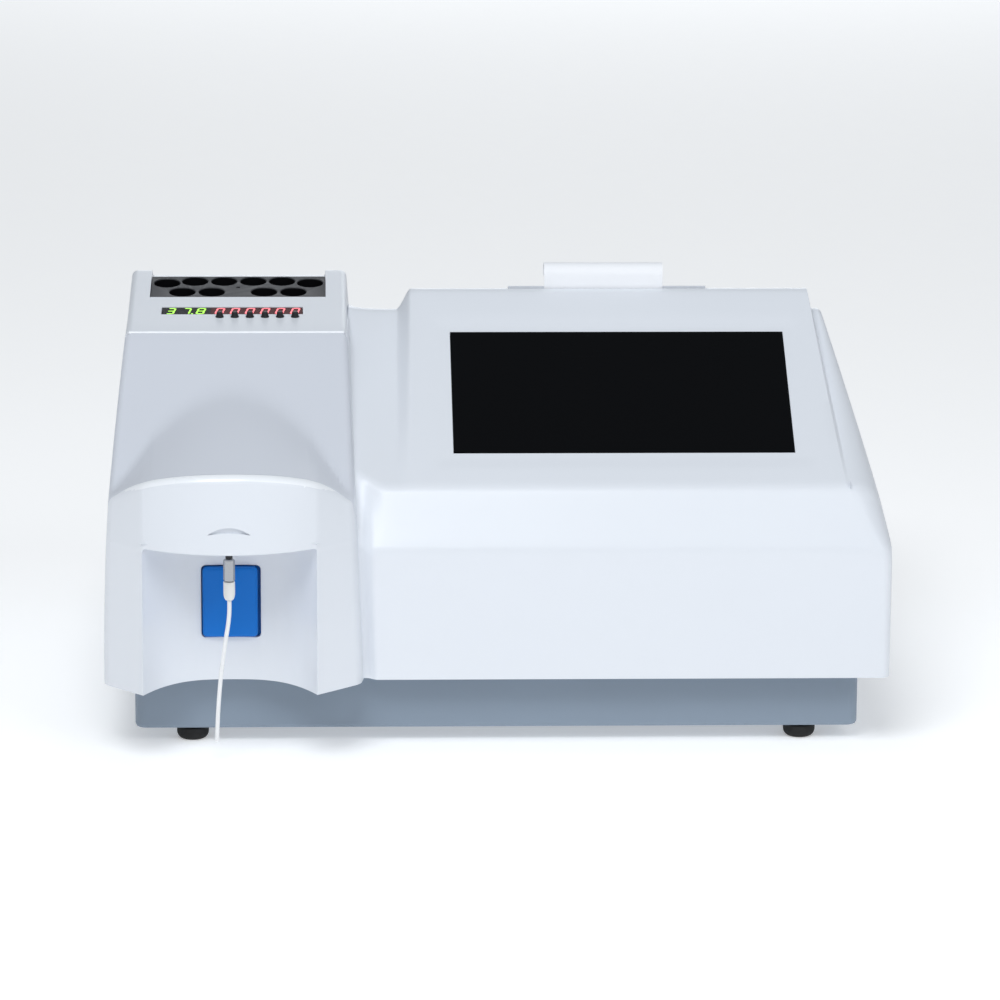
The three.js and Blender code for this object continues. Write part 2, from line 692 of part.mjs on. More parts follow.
function housingColumns() {
  const columns = [];
  const add = (profile, place) => columns.push(profile.map(([y, z], j) => [place(z, j), y, z]));
  const round = BODY.edgeRound;

  const leftProfile = towerProfile(TOWER.left);
  const leftEdge = insetProfile(leftProfile, round);
  const leftBottom = bottomPoints(leftEdge);
  for (const share of wallShares) {
    add(leftEdge.map((p, j) => mixPoint(leftBottom[j], p, share)), leftWall);
  }
  for (const angle of roundAngles) {
    const drop = round * (1 - Math.sin(angle));
    const aside = round * (1 - Math.cos(angle));
    add(insetProfile(towerProfile(TOWER.left + aside), drop), (z) => leftWall(z) + aside);
  }
  add(towerProfile(mix(TOWER.left, TOWER.recessLeft, TOWER.cheekShare)), (z) => {
    return mix(leftWall(z), mix(TOWER.recessLeft, TOWER.panelLeft, panelShare(z)), TOWER.cheekShare);
  });
  recessShares.forEach(([low, high], k) => {
    const x = mix(TOWER.recessLeft, TOWER.recessRight, low);
    const notched = k > 0 && k < recessShares.length - 1;
    add(towerProfile(x, notched), (z) => {
      const upper = mix(TOWER.panelLeft, TOWER.panelRight, high);
      return mix(x, upper, panelShare(z));
    });
  });
  for (const angle of [...roundAngles].reverse()) {
    const drop = round * (1 - Math.sin(angle));
    const aside = round * (1 - Math.cos(angle));
    add(insetProfile(towerProfile(TOWER.right - aside), drop), (z) => innerWall(z) - aside);
  }
  for (const share of coveShares) {
    const along = (z) => mix(innerWall(z) + BODY.wall / 3, wedgeFootLeft(z), share * MAIN.coveReachShare);
    const x = along(MAIN.shoulderFoot);
    add(mainProfile(x, 0, (1 - share) ** 2), along);
  }
  for (const share of flareShares) {
    const along = (z) => mix(wedgeFootLeft(z), wedgeLeft(z), share);
    add(mainProfile(along(MAIN.shoulderFoot), ease(share)), along);
  }
  const middle = (SCREEN.left + SCREEN.right) / 2;
  for (const x of [SCREEN.left, PRINTER.left, middle, PRINTER.right, SCREEN.right]) {
    add(mainProfile(x, 1), () => x);
  }
  for (const share of flankShares) {
    const along = (z) => mix(wedgeRight(z), wedgeFootRight(z), share);
    add(mainProfile(along(MAIN.shoulderFoot), 1 - ease(share)), along);
  }
  const flank = mainProfile(BODY.right, 0);
  const rightRound = (y, z) => {
    const climbed = ease(ramp(MAIN.shoulderFoot - MAIN.shoulderRound, MAIN.shoulderTop, z));
    const near = mix(MAIN.frontRound, MAIN.shoulderRound, climbed);
    const along = ramp(MAIN.shoulder, MAIN.ridge, y) ** MAIN.roundPowerShare;
    return mix(near, MAIN.ridgeEdgeRound, along);
  };
  const rounds = flank.map(([y, z]) => rightRound(y, z));
  for (const angle of [...roundAngles, Math.PI / 8].sort((a, b) => b - a)) {
    const dropped = insetProfile(flank, (y, z) => rightRound(y, z) * (1 - Math.sin(angle)));
    add(dropped, (z, j) => rightWall(z) - rounds[j] * (1 - Math.cos(angle)));
  }
  const rightEdge = insetProfile(flank, rightRound);
  const rightBottom = bottomPoints(rightEdge);
  for (const share of [...wallShares].reverse()) {
    add(rightEdge.map((p, j) => mixPoint(rightBottom[j], p, share)), rightWall);
  }
  return columns;
}

// An open surface of columns as one closed sheet of even thickness, grown inwards
function thicken(columns, thick) {
  const corners = [];
  for (let i = 0; i + 1 < columns.length; i += 1) {
    for (let j = 0; j + 1 < columns[i].length; j += 1) {
      const [a, b, c, d] = [columns[i][j], columns[i + 1][j], columns[i + 1][j + 1], columns[i][j + 1]];
      corners.push(...a, ...b, ...c, ...a, ...c, ...d);
    }
  }
  const loose = new THREE.BufferGeometry();
  loose.setAttribute("position", new THREE.Float32BufferAttribute(corners, 3));
  const merged = mergeVertices(loose, 1e-3);
  const faces = [];
  for (let k = 0; k < merged.index.count; k += 3) {
    const face = [merged.index.getX(k), merged.index.getX(k + 1), merged.index.getX(k + 2)];
    if (new Set(face).size === 3) faces.push(face);
  }
  merged.setIndex(faces.flat());
  merged.computeVertexNormals();
  const outer = merged.attributes.position;
  const normal = merged.attributes.normal;
  const count = outer.count;
  const places = [...outer.array];
  for (let k = 0; k < count; k += 1) {
    places.push(
      outer.getX(k) - thick * normal.getX(k),
      outer.getY(k) - thick * normal.getY(k),
      outer.getZ(k) - thick * normal.getZ(k),
    );
  }
  const triangles = [];
  const used = new Set(faces.flatMap(([a, b, c]) => [`${a} ${b}`, `${b} ${c}`, `${c} ${a}`]));
  for (const [a, b, c] of faces) {
    triangles.push(a, b, c, a + count, c + count, b + count);
    for (const [from, to] of [[a, b], [b, c], [c, a]]) {
      if (used.has(`${to} ${from}`)) continue;
      triangles.push(to, from, from + count, to, from + count, to + count);
    }
  }
  const sheet = new THREE.BufferGeometry();
  sheet.setAttribute("position", new THREE.Float32BufferAttribute(places, 3));
  sheet.setIndex(triangles);
  return sheet;
}

// Puts a geometry on the tower's tilted top panel: x from the model, y along the panel, z above it
function onPanel(geometry) {
  return geometry.rotateX(PANEL_TILT).translate(0, TOWER.seam, SEAM_HEIGHT);
}
const panelRun = (depth) => (depth - TOWER.seam) / Math.cos(PANEL_TILT);
// Puts a geometry on the display slope, with y along the slope from the shoulder
function onSlope(geometry) {
  return geometry.rotateX(WEDGE_TILT).translate(0, MAIN.shoulder, MAIN.shoulderTop);
}

// Region of the access lid: from the arched rim to the seam, and down the sides by the skirt
function lidRegion(clear) {
  const rim = [];
  const steps = 24;
  for (let k = 0; k <= steps; k += 1) {
    const x = mix(TOWER.left - OVERRUN, TOWER.right + BODY.wall / 3, k / steps);
    rim.push(new THREE.Vector2(x, rimDepth(x) + TOWER.rimRound - clear));
  }
  const back = TOWER.seam - LID.slot + (clear ? 2 * LID.slot : 0);
  rim.push(new THREE.Vector2(TOWER.right + BODY.wall / 3, back));
  rim.push(new THREE.Vector2(TOWER.left - OVERRUN, back));
  const tall = EAR_HEIGHT;
  const plan = extrude(new THREE.Shape(rim), tall).translate(0, 0, BODY.bottom);
  const depth = LID.skirt + clear;
  const line = (y) => HOOD_FOOT + (y - TOWER.slopeFoot) * TOWER.slopePitch - depth;
  const front = TOWER.lipFront;
  const side = sideProfile(
    [
      [front, line(TOWER.slopeFoot)],
      [TOWER.slopeFoot, line(TOWER.slopeFoot)],
      [BODY.back, line(BODY.back)],
      [BODY.back, 2 * tall],
      [front, 2 * tall],
    ],
    TOWER.left - OVERRUN,
    TOWER.right + BODY.wall / 3,
  );
  return common(plan, side);
}
// Region of the printer lid on the roof
function printerRegion(clear) {
  const front = PRINTER.front - (clear ? PRINTER.slot : 0);
  const low = MAIN.shoulderTop;
  return block(
    PRINTER.left - clear,
    PRINTER.right + clear,
    front,
    PRINTER.back + (clear ? 2 * LID.slot : 0),
    low,
    WEDGE_RIDGE + BODY.wall,
  );
}

function makeHousing() {
  const skin = solid(thicken(housingColumns(), BODY.wall));
  const lid = common(skin, lidRegion(0));
  const printerLid = common(skin, printerRegion(0));
  const wellHole = onPanel(
    block(
      TOWER.panelLeft,
      TOWER.panelRight,
      panelRun(BLOCK_FRONT),
      panelRun(BLOCK_BACK),
      -BODY.wall * 4,
      OVERRUN,
    ),
  );
  const windowHole = onPanel(
    block(WINDOW.left, WINDOW.right, panelRun(WINDOW.low), panelRun(WINDOW.high), -BODY.wall * 2, OVERRUN),
  );
  const timerHoles = timerPlaces().map((x) =>
    onPanel(rod(TIMER.hole, BODY.wall * 4, 12).translate(x, panelRun(TIMER.depth), -BODY.wall * 2)),
  );
  const screenHole = onSlope(
    block(
      SCREEN.left - GAP,
      SCREEN.right + GAP,
      SCREEN.low - GAP,
      SCREEN.high + GAP,
      -BODY.wall * 2,
      OVERRUN,
    ),
  );
  const buttonHole = facing(
    roundedRect(BUTTON.right - BUTTON.left, BUTTON.high - BUTTON.low, BUTTON.corner),
    -TOWER.cornerFront,
  ).translate((BUTTON.left + BUTTON.right) / 2, TOWER.wallFront, (BUTTON.low + BUTTON.high) / 2);
  const stemHole = rod(NOZZLE.hole, TOWER.lipRise * 4, 12).translate(
    NOZZLE.x,
    NOZZLE.depth,
    NOZZLE.top,
  );
  const rearHole = block(
    REAR.left,
    REAR.right,
    BODY.back - 2 * BODY.wall,
    BODY.back + OVERRUN,
    REAR.low,
    REAR.high,
  );
  const cover = cut(
    skin,
    lidRegion(LID.edgeGap),
    printerRegion(LID.edgeGap),
    wellHole,
    windowHole,
    ...timerHoles,
    screenHole,
    buttonHole,
    stemHole,
    rearHole,
    fingerNick(),
  );
  return { cover, lid, printerLid };
}
// The crescent pressed into the hood above the lip, for a fingertip
function fingerNick() {
  const crescent = new THREE.Shape();
  crescent.moveTo(-NICK.half, 0);
  crescent.quadraticCurveTo(0, 2 * NICK.height, NICK.half, 0);
  crescent.quadraticCurveTo(0, NICK.height / 2, -NICK.half, 0);
  const face = upFront(TOWER_CENTRE) + TOWER.hoodLean / 4;
  return facing(crescent, OVERRUN + NICK.depth, 6).translate(
    TOWER_CENTRE,
    face - OVERRUN,
    TOWER.lipHeight + NICK.rise - NICK.height / 2,
  );
}
function timerPlaces() {
  return Array.from({ length: TIMER.count }, (_, k) => TIMER.first + k * TIMER.spacing);
}

const roofHeight = (y) => WEDGE_RIDGE - (y - MAIN.ridge) * BODY.roofFallShare;

// The access lid turns on a thin rod that lies in the seam, and the printer lid on one like it
const ROD_DROP = LID.rodRadius + LID.rodRadius / 10;
function makeHingeRods() {
  const accessHeight = SEAM_HEIGHT - ROD_DROP;
  const accessLeft = leftWall(accessHeight) + BODY.edgeRound / 2;
  const accessRight = innerWall(accessHeight) - BODY.edgeRound / 2;
  const access = rodX(LID.rodRadius, accessRight - accessLeft, 10);
  put("access_hinge_rod", access.translate(accessLeft, TOWER.seam, accessHeight), STEEL);
  const back = PRINTER.back + LID.slot;
  const printer = rodX(LID.rodRadius, PRINTER.right - PRINTER.left, 10);
  put("printer_hinge_rod", printer.translate(PRINTER.left, back, roofHeight(back) - ROD_DROP), STEEL);
}

// Tray with an outward flange that lies inside the cover's skirt, on four bowl-shaped feet
function makeBase() {
  const left = TOWER.left + BASE.inset;
  const right = BODY.right - BASE.inset;
  const centre = (left + right) / 2;
  const middle = (BASE.front + BASE_BACK) / 2;
  const width = right - left;
  const depth = BASE_BACK - BASE.front;
  const { wall, corner, edge, bottom, top } = BASE;
  const outline = roundedRect(width - 2 * edge, depth - 2 * edge, corner - edge);
  const outer = new THREE.ExtrudeGeometry(outline, {
    depth: top - bottom - 2 * edge,
    bevelThickness: edge,
    bevelSize: edge,
    bevelSegments: 2,
    curveSegments: 3,
  });
  const inner = plate(width - 2 * wall, depth - 2 * wall, corner - wall, top);
  const flangeWidth = BODY.right - TOWER.left - 2 * BASE.flangeInset;
  const flangeBack = BODY.back - BASE.flangeBackInset;
  const flange = plate(flangeWidth, flangeBack - BASE.flangeFront, corner, wall)
    .translate(centre, (BASE.flangeFront + flangeBack) / 2, top - wall);
  const walls = outer.translate(centre, middle, bottom + edge);
  put("base_tray", cut(join(walls, flange), inner.translate(centre, middle, BASE_FLOOR)), BLUE_GREY);
  const height = BASE.bottom - GAP;
  const sides = [["left", left + FOOT.sideInset], ["right", right - FOOT.sideInset]];
  const ends = [["front", BASE.front + FOOT.inset], ["rear", BASE_BACK - FOOT.inset]];
  for (const [side, x] of sides) {
    for (const [end, y] of ends) {
      const foot = turned([
        [0, 0],
        [FOOT.sole, 0],
        [FOOT.radius - FOOT.bulge / 4, FOOT.bulge / 3],
        [FOOT.radius, FOOT.bulge],
        [FOOT.radius, height - FOOT.bulge / 2],
        [FOOT.sole, height],
        [0, height],
      ], 14);
      put(`foot_${end}_${side}`, foot.translate(x, y, 0), RUBBER);
    }
  }
}

// Display: touch glass in the sloping field, the panel behind it, its bracket and its driver board
function makeDisplay() {
  const { left, right, low, high } = SCREEN;
  put("touch_glass", onSlope(block(left, right, low, high, GAP - PANEL.top, -GAP)), GLASS);
  const border = PANEL.border;
  const bottom = -PANEL.top - PANEL.depth;
  const panel = block(left - border, right + border, low - border, high + border, bottom, -PANEL.top);
  put("lcd_panel", onSlope(panel), DARK);
  const reach = border + GAP + PANEL.sheet;
  const sheetTop = bottom - GAP;
  const sheetLow = sheetTop - PANEL.sheet;
  const pan = block(left - reach, right + reach, low - border, high + border, sheetLow, -PANEL.top);
  const room = block(
    left - border - GAP,
    right + border + GAP,
    low - border - OVERRUN,
    high + border + OVERRUN,
    sheetTop,
    OVERRUN,
  );
  const middle = (left + right) / 2;
  const window = plate(right - left - 2 * PANEL.inset, high - low - 2 * PANEL.inset, border, reach * 4)
    .translate(middle, (low + high) / 2, sheetLow - OVERRUN);
  put("display_bracket", onSlope(geometryOf(cut(pan, room, window))), ALUMINIUM);
  const boardTop = sheetLow - PANEL.post - GAP;
  const edge = PANEL.inset / 2;
  const board = block(left + edge, right - edge, low + edge, high - edge, boardTop - PANEL.board, boardTop);
  const posts = [left + PANEL.inset / 2 + border, right - PANEL.inset / 2 - border].flatMap((x) =>
    [low + edge + PANEL.post, high - edge - PANEL.post].map((y) =>
      rod(PANEL.post, PANEL.post + PANEL.board / 2, 8).translate(x, y, boardTop - PANEL.board / 2),
    ),
  );
  put("display_board", onSlope(geometryOf(join(board, ...posts))), BOARD);
}

// Incubator block with ten tube wells, its heater, and the timer strip with its six buttons
function wellPlaces() {
  const ends = [0, WELLS.rear.length - 1];
  const rear = WELLS.rear.map((x, k) => [x, ends.includes(k) ? WELLS.rearEnds : WELLS.rearRow]);
  return [...rear, ...WELLS.front.map((x) => [x, WELLS.frontRow])];
}
function makeIncubator() {
  const middle = (TOWER.panelLeft + TOWER.panelRight) / 2;
  const front = panelRun(BLOCK_FRONT);
  const back = panelRun(BLOCK_BACK);
  const left = TOWER.panelLeft + GAP;
  const right = TOWER.panelRight - GAP;
  const body = block(left, right, front + GAP, back - GAP, -WELL.block, -WELL.sunk);
  const wells = wellPlaces().map(([x, y]) =>
    rod(WELL.radius, WELL.depth + OVERRUN, 14).translate(middle + x, front + y, -WELL.sunk - WELL.depth),
  );
  const probe = rod(WELL.probe, WELL.depth, 6).translate(middle, front + WELLS.probeRow, -WELL.depth / 3);
  put("incubator_block", onPanel(geometryOf(cut(body, ...wells, probe))), DARK);
  const heaterTop = -WELL.block - GAP;
  const heater = block(left, right, front + GAP, back - GAP, heaterTop - WELL.heater, heaterTop);
  put("heater_plate", onPanel(heater), ALUMINIUM);
}
function makeTimers() {
  const low = panelRun(WINDOW.low);
  const high = panelRun(WINDOW.high);
  const bottom = -STRIP.under - STRIP.thick;
  const lens = block(WINDOW.left + GAP, WINDOW.right - GAP, low + GAP, high - GAP, bottom, -GAP);
  const edge = STRIP.flange;
  const flange = block(
    WINDOW.left - edge,
    WINDOW.right + edge,
    low - STRIP.lip,
    high + edge,
    bottom,
    -STRIP.under,
  );
  put("timer_window", onPanel(geometryOf(join(lens, flange))), LENS);
  const row = panelRun(TIMER.depth);
  const boardLow = row - STRIP.margin;
  const boardHigh = high + STRIP.margin;
  const boardLeft = WINDOW.left - edge;
  const boardRight = WINDOW.right + STRIP.margin;
  const top = -STRIP.boardTop;
  const board = block(boardLeft, boardRight, boardLow, boardHigh, top - STRIP.board, top);
  const posts = [boardLeft + edge, boardRight - edge].map((x) =>
    rod(edge, -STRIP.under - top, 8).translate(x, boardHigh - edge, top),
  );
  const digits = block(
    WINDOW.left + edge,
    WINDOW.right - edge,
    low + GAP,
    high - GAP,
    top,
    bottom - GAP,
  );
  put("timer_board", onPanel(geometryOf(join(board, digits, ...posts))), BOARD);
  timerPlaces().forEach((x, k) => {
    const skirt = TIMER.radius * TIMER.skirtShare;
    const foot = STRIP.boardTop - TIMER.travel - GAP;
    const cap = turned([
      [0, -foot],
      [skirt, -foot],
      [skirt, -foot + TIMER.radius],
      [TIMER.radius, -foot + TIMER.radius],
      [TIMER.radius, TIMER.proud - GAP],
      [TIMER.radius - GAP, TIMER.proud],
      [0, TIMER.proud],
    ], 12);
    put(`timer_button_${k + 1}`, onPanel(cap.translate(x, row, 0)), BLACK);
  });
}

// Sample bay: the blue button with its switch, and the sipper's nozzle under the lip
function makeSampleBay() {
  const x = (BUTTON.left + BUTTON.right) / 2;
  const z = (BUTTON.low + BUTTON.high) / 2;
  const width = BUTTON.right - BUTTON.left - 2 * BUTTON.clear;
  const height = BUTTON.high - BUTTON.low - 2 * BUTTON.clear;
  const outline = roundedRect(width - 2 * BUTTON.bevel, height - 2 * BUTTON.bevel, BUTTON.corner);
  const face = new THREE.ExtrudeGeometry(outline, {
    depth: BUTTON.thick,
    bevelThickness: BUTTON.bevel,
    bevelSize: BUTTON.bevel,
    bevelSegments: 1,
    curveSegments: 2,
  });
  const cap = face.rotateX(Math.PI / 2).translate(x, BUTTON.face + BUTTON.bevel + BUTTON.thick, z);
  const flangeFront = TOWER.recessFloor + BODY.wall + GAP;
  const lap = roundedRect(width + BUTTON.flange, height + BUTTON.flange, BUTTON.corner);
  const flange = facing(lap, BODY.wall / 2).translate(x, flangeFront, z);
  put("sample_button", join(cap, flange), BLUE);

  const back = SWITCH.front + SWITCH.depth;
  const half = SWITCH.width / 2;
  const tall = SWITCH.height;
  const body = block(x - half, x + half, SWITCH.front, back, z - tall, z + tall);
  const reach = SWITCH.plunger;
  const plunger = rodY(reach * 2, reach * 2, 8).translate(x, SWITCH.front - reach, z);
  put("sample_switch", join(body, plunger), BLACK);
  const bracketFront = back + GAP;
  const bracket = block(
    BUTTON.left,
    BUTTON.right,
    bracketFront,
    bracketFront + SWITCH.bracket,
    SWITCH.low,
    CHASSIS.top - CHASSIS.sheet,
  );
  const relief = facing(roundedRect(SWITCH.width, tall, BUTTON.corner), CHASSIS.top);
  put("switch_bracket", cut(bracket, relief.translate(x, 0, SWITCH.low + tall)), ALUMINIUM);

  const at = (geometry) => geometry.translate(NOZZLE.x, NOZZLE.depth, 0);
  const skinTop = TOWER.lipHeight + TOWER.lipRise / 2 + BODY.wall + GAP;
  const fitting = turned([
    [0, NOZZLE.top],
    [NOZZLE.stem, NOZZLE.top],
    [NOZZLE.stem, skinTop],
    [NOZZLE.nut, skinTop],
    [NOZZLE.nut, skinTop + NOZZLE.nut],
    [0, skinTop + NOZZLE.nut],
  ], 12);
  put("nozzle_fitting", at(fitting), BLACK);
  const collarTop = NOZZLE.top - GAP;
  const collar = turned([
    [0, NOZZLE.collar],
    [NOZZLE.radius, NOZZLE.collar],
    [NOZZLE.radius, collarTop - NOZZLE.chamfer],
    [NOZZLE.radius - NOZZLE.chamfer, collarTop],
    [0, collarTop],
  ], 16);
  put("nozzle_collar", at(collar), STEEL);
  const ferruleTop = NOZZLE.collar - GAP;
  const ferrule = turned([
    [0, NOZZLE.ferrule],
    [NOZZLE.radius / 2, NOZZLE.ferrule],
    [NOZZLE.radius - NOZZLE.chamfer, NOZZLE.ferrule + NOZZLE.chamfer],
    [NOZZLE.radius, NOZZLE.ferrule + NOZZLE.radius],
    [NOZZLE.radius, ferruleTop],
    [0, ferruleTop],
  ], 16);
  put("nozzle_ferrule", at(ferrule), NATURAL);
}

// Free sipper tube: its route hangs from the ferrule, as offsets from the nozzle's foot
const TUBE_ROUTE = [
  [0, 0, 0],
  [0, 0, -4],
  [-0.25, 0, -8],
  [-0.75, 0, -12],
  [-1.4, 0, -16],
  [-2, 0, -20],
  [-2.6, 0, -24],
  [-3.15, 0, -28],
  [-3.7, 0, -32.5],
  [-4.2, 0, -37],
  [-4.65, 0, -42],
  [-5.05, 0, -47],
  [-5.4, 0, -52],
  [-5.65, 0, -57],
  [-5.85, 0, -61.5],
  [-5.95, 0, -65],
];
function makeTube() {
  const foot = new THREE.Vector3(NOZZLE.x, NOZZLE.depth, NOZZLE.ferrule - GAP);
  const route = TUBE_ROUTE.map((p) => new THREE.Vector3(...p).add(foot));
  const ring = new THREE.Shape();
  ring.absarc(0, 0, TUBE.radius, 0, 2 * Math.PI, false);
  const tube = new THREE.ExtrudeGeometry(ring, {
    steps: TUBE.steps,
    curveSegments: TUBE.sides / 2,
    extrudePath: new THREE.CatmullRomCurve3(route),
  });
  put("sipper_tube", tube, NATURAL);
}

// Chassis in the tower: an inverted channel on the tray's floor
function makeChassis() {
  const { left, right, front, back, top, sheet, foot, slot } = CHASSIS;
  const low = BASE_FLOOR + GAP;
  const section = new THREE.Shape([
    [left, low],
    [left + foot, low],
    [left + foot, low + sheet],
    [left + sheet, low + sheet],
    [left + sheet, top - sheet],
    [right - sheet, top - sheet],
    [right - sheet, low + sheet],
    [right - foot, low + sheet],
    [right - foot, low],
    [right, low],
    [right, top],
    [left, top],
  ].map(([x, z]) => new THREE.Vector2(x, z)));
  const channel = facing(section, back - front).translate(0, front, 0);
  const shaftHole = rod(PUMP.shaft + 2 * GAP, 4 * sheet, 10).translate(PUMP.x, PUMP.y, top - 2 * sheet);
  const vents = spread(CHASSIS.slots).map((share) =>
    facing(roundedRect(slot, top / 2, slot / 2), right - left + 2 * OVERRUN)
      .rotateZ(-Math.PI / 2)
      .translate(left - OVERRUN, mix(front, back, share), top / 2),
  );
  put("chassis", cut(channel, shaftHole, ...vents), ALUMINIUM);
}

// Peristaltic pump on the chassis
function makePump() {
  const place = (geometry, z) => geometry.translate(PUMP.x, PUMP.y, z);
  const base = CHASSIS.top + GAP;
  const body = place(plate(PUMP.width, PUMP.width, PUMP.wall, PUMP.height), base);
  const bore = place(rod(PUMP.bore, PUMP.height, 24), base + PUMP.floor);
  const mouth = block(
    PUMP.x - PUMP.bore / 2,
    PUMP.x + PUMP.bore / 2,
    PUMP.y - PUMP.width,
    PUMP.y,
    base + PUMP.floor,
    base + 2 * PUMP.height,
  );
  const shaftHole = place(rod(PUMP.shaft + 2 * GAP, PUMP.height, 10), base - OVERRUN);
  put("pump_housing", cut(body, bore, mouth, shaftHole), NATURAL);

  const rotorLow = base + PUMP.floor + GAP;
  const tall = PUMP.height - PUMP.floor - GAP;
  const pieces = [place(rod(PUMP.hub, tall, 16), rotorLow)];
  for (let k = 0; k < PUMP.rollers; k += 1) {
    const turn = (2 * Math.PI * k) / PUMP.rollers;
    const arm = block(0, PUMP.arm, -PUMP.shaft, PUMP.shaft, 0, PUMP.floor).rotateZ(turn);
    const roller = rod(PUMP.roller, tall - PUMP.floor, 12).translate(PUMP.arm, 0, PUMP.floor).rotateZ(turn);
    pieces.push(place(arm, rotorLow), place(roller, rotorLow - GAP));
  }
  put("pump_rotor", join(...pieces), BLACK);

  const motorTop = CHASSIS.top - CHASSIS.sheet - GAP;
  const motor = turned([
    [0, motorTop - PUMP.motorLength],
    [PUMP.motor, motorTop - PUMP.motorLength],
    [PUMP.motor, motorTop],
    [PUMP.shaft, motorTop],
    [PUMP.shaft, rotorLow - GAP],
    [0, rotorLow - GAP],
  ], 20);
  put("pump_motor", place(motor, 0), STEEL);
}

// Light path across the chassis: lamp, condenser, flow cell, filter wheel and detector on one axis along X
function makeOptics() {
  const base = CHASSIS.top + GAP;
  const axis = base + OPTICS.axis;
  const { y, bore } = OPTICS;
  const along = (radius, x0, x1, sides = 16) => rodX(radius, x1 - x0, sides).translate(x0, y, axis);
  const { lampLeft, lampRight, lampDeep, lampTall, fin } = OPTICS;
  const house = block(lampLeft, lampRight, y - lampDeep, y + lampDeep, base, base + lampTall);
  const fins = spread(OPTICS.fins).map((share) => {
    const z = mix(axis + bore + fin, base + lampTall, share);
    return block(lampLeft + 2 * fin, lampRight + fin, y - 2 * lampDeep, y + 2 * lampDeep, z, z + fin);
  });
  const lampStart = lampLeft + 2 * fin;
  put("lamp_house", cut(house, along(bore, lampStart, lampRight + OVERRUN), ...fins), ALUMINIUM);
  const lamp = turned([
    [0, 0],
    [bore - 2 * GAP, 0],
    [bore - 2 * GAP, bore / 2],
    [bore / 2, bore],
    [bore / 2, 2 * bore],
    [0, 2 * bore + fin],
  ], 12).rotateY(Math.PI / 2);
  put("lamp", lamp.translate(lampStart + GAP, y, axis), GLASS_CLEAR);

  const { cellLeft, cellRight, cellDeep, cellTall, cell } = OPTICS;
  const holder = block(cellLeft, cellRight, y - cellDeep, y + cellDeep, base, base + cellTall);
  const half = cell / 2;
  const cellX = (cellLeft + cellRight) / 2;
  const slot = block(
    cellX - half - GAP,
    cellX + half + GAP,
    y - half - GAP,
    y + half + GAP,
    base + OPTICS.cellProud,
    base + 2 * cellTall,
  );
  put("cell_holder", cut(holder, slot, along(bore, cellLeft - OVERRUN, cellRight + OVERRUN)), BLACK);
  const cellTop = base + cellTall + OPTICS.cellProud;
  const cellLow = base + OPTICS.cellProud + GAP;
  const body = block(cellX - half, cellX + half, y - half, y + half, cellLow, cellTop);
  const stubLow = cellTop - OPTICS.cellProud;
  const stubs = [-1, 1].map((side) =>
    rod(PUMP.shaft / 2, OPTICS.cellProud * 2, 8).translate(cellX + (side * half) / 2, y, stubLow),
  );
  put("flow_cell", join(body, ...stubs), STEEL);
  const lens = turned([
    [0, 0],
    [bore - 2 * GAP, OPTICS.lens / 4],
    [bore - 2 * GAP, OPTICS.lens / 2],
    [bore / 2, OPTICS.lens - GAP],
    [0, OPTICS.lens],
  ], 16).rotateY(Math.PI / 2);
  put("condenser_lens", lens.translate(cellLeft + GAP, y, axis), GLASS_CLEAR);

  const wheelAxis = axis + OPTICS.filterRing;
  const turn = (radius, x0, x1, sides) => rodX(radius, x1 - x0, sides).translate(x0, y, wheelAxis);
  const wheelRight = OPTICS.wheelLeft + OPTICS.wheelThick;
  const disc = turn(OPTICS.wheel, OPTICS.wheelLeft, wheelRight, 28);
  const hub = turn(OPTICS.wheelHub, OPTICS.wheelLeft, wheelRight + fin, 12);
  const holes = Array.from({ length: OPTICS.filters }, (_, k) => {
    const angle = (2 * Math.PI * k) / OPTICS.filters;
    return rodX(OPTICS.filter, OPTICS.wheelThick + 2 * OVERRUN, 8).translate(
      OPTICS.wheelLeft - OVERRUN,
      y + OPTICS.filterRing * Math.sin(angle),
      wheelAxis - OPTICS.filterRing * Math.cos(angle),
    );
  });
  put("filter_wheel", cut(join(disc, hub), ...holes), BLACK);
  const bracketLeft = wheelRight + fin + GAP;
  const bracketRight = bracketLeft + OPTICS.bracket;
  const bracket = block(bracketLeft, bracketRight, y - lampDeep, y + lampDeep, base, wheelAxis + lampDeep);
  put(
    "filter_bracket",
    cut(
      bracket,
      along(OPTICS.filter, bracketLeft - OVERRUN, bracketRight + OVERRUN, 12),
      turn(PUMP.shaft + 2 * GAP, bracketLeft - OVERRUN, bracketRight + OVERRUN, 12),
    ),
    ALUMINIUM,
  );
  const motorLeft = bracketRight + GAP;
  const motor = join(
    turn(OPTICS.motor, motorLeft, motorLeft + OPTICS.motorLength, 18),
    turn(PUMP.shaft, bracketLeft, motorLeft + fin, 12),
  );
  put("filter_motor", motor, STEEL);
  const size = OPTICS.detector;
  const top = wheelAxis - OPTICS.motor - GAP;
  put("detector", block(motorLeft, motorLeft + size, y - size / 2, y + size / 2, base, top), DARK);
}

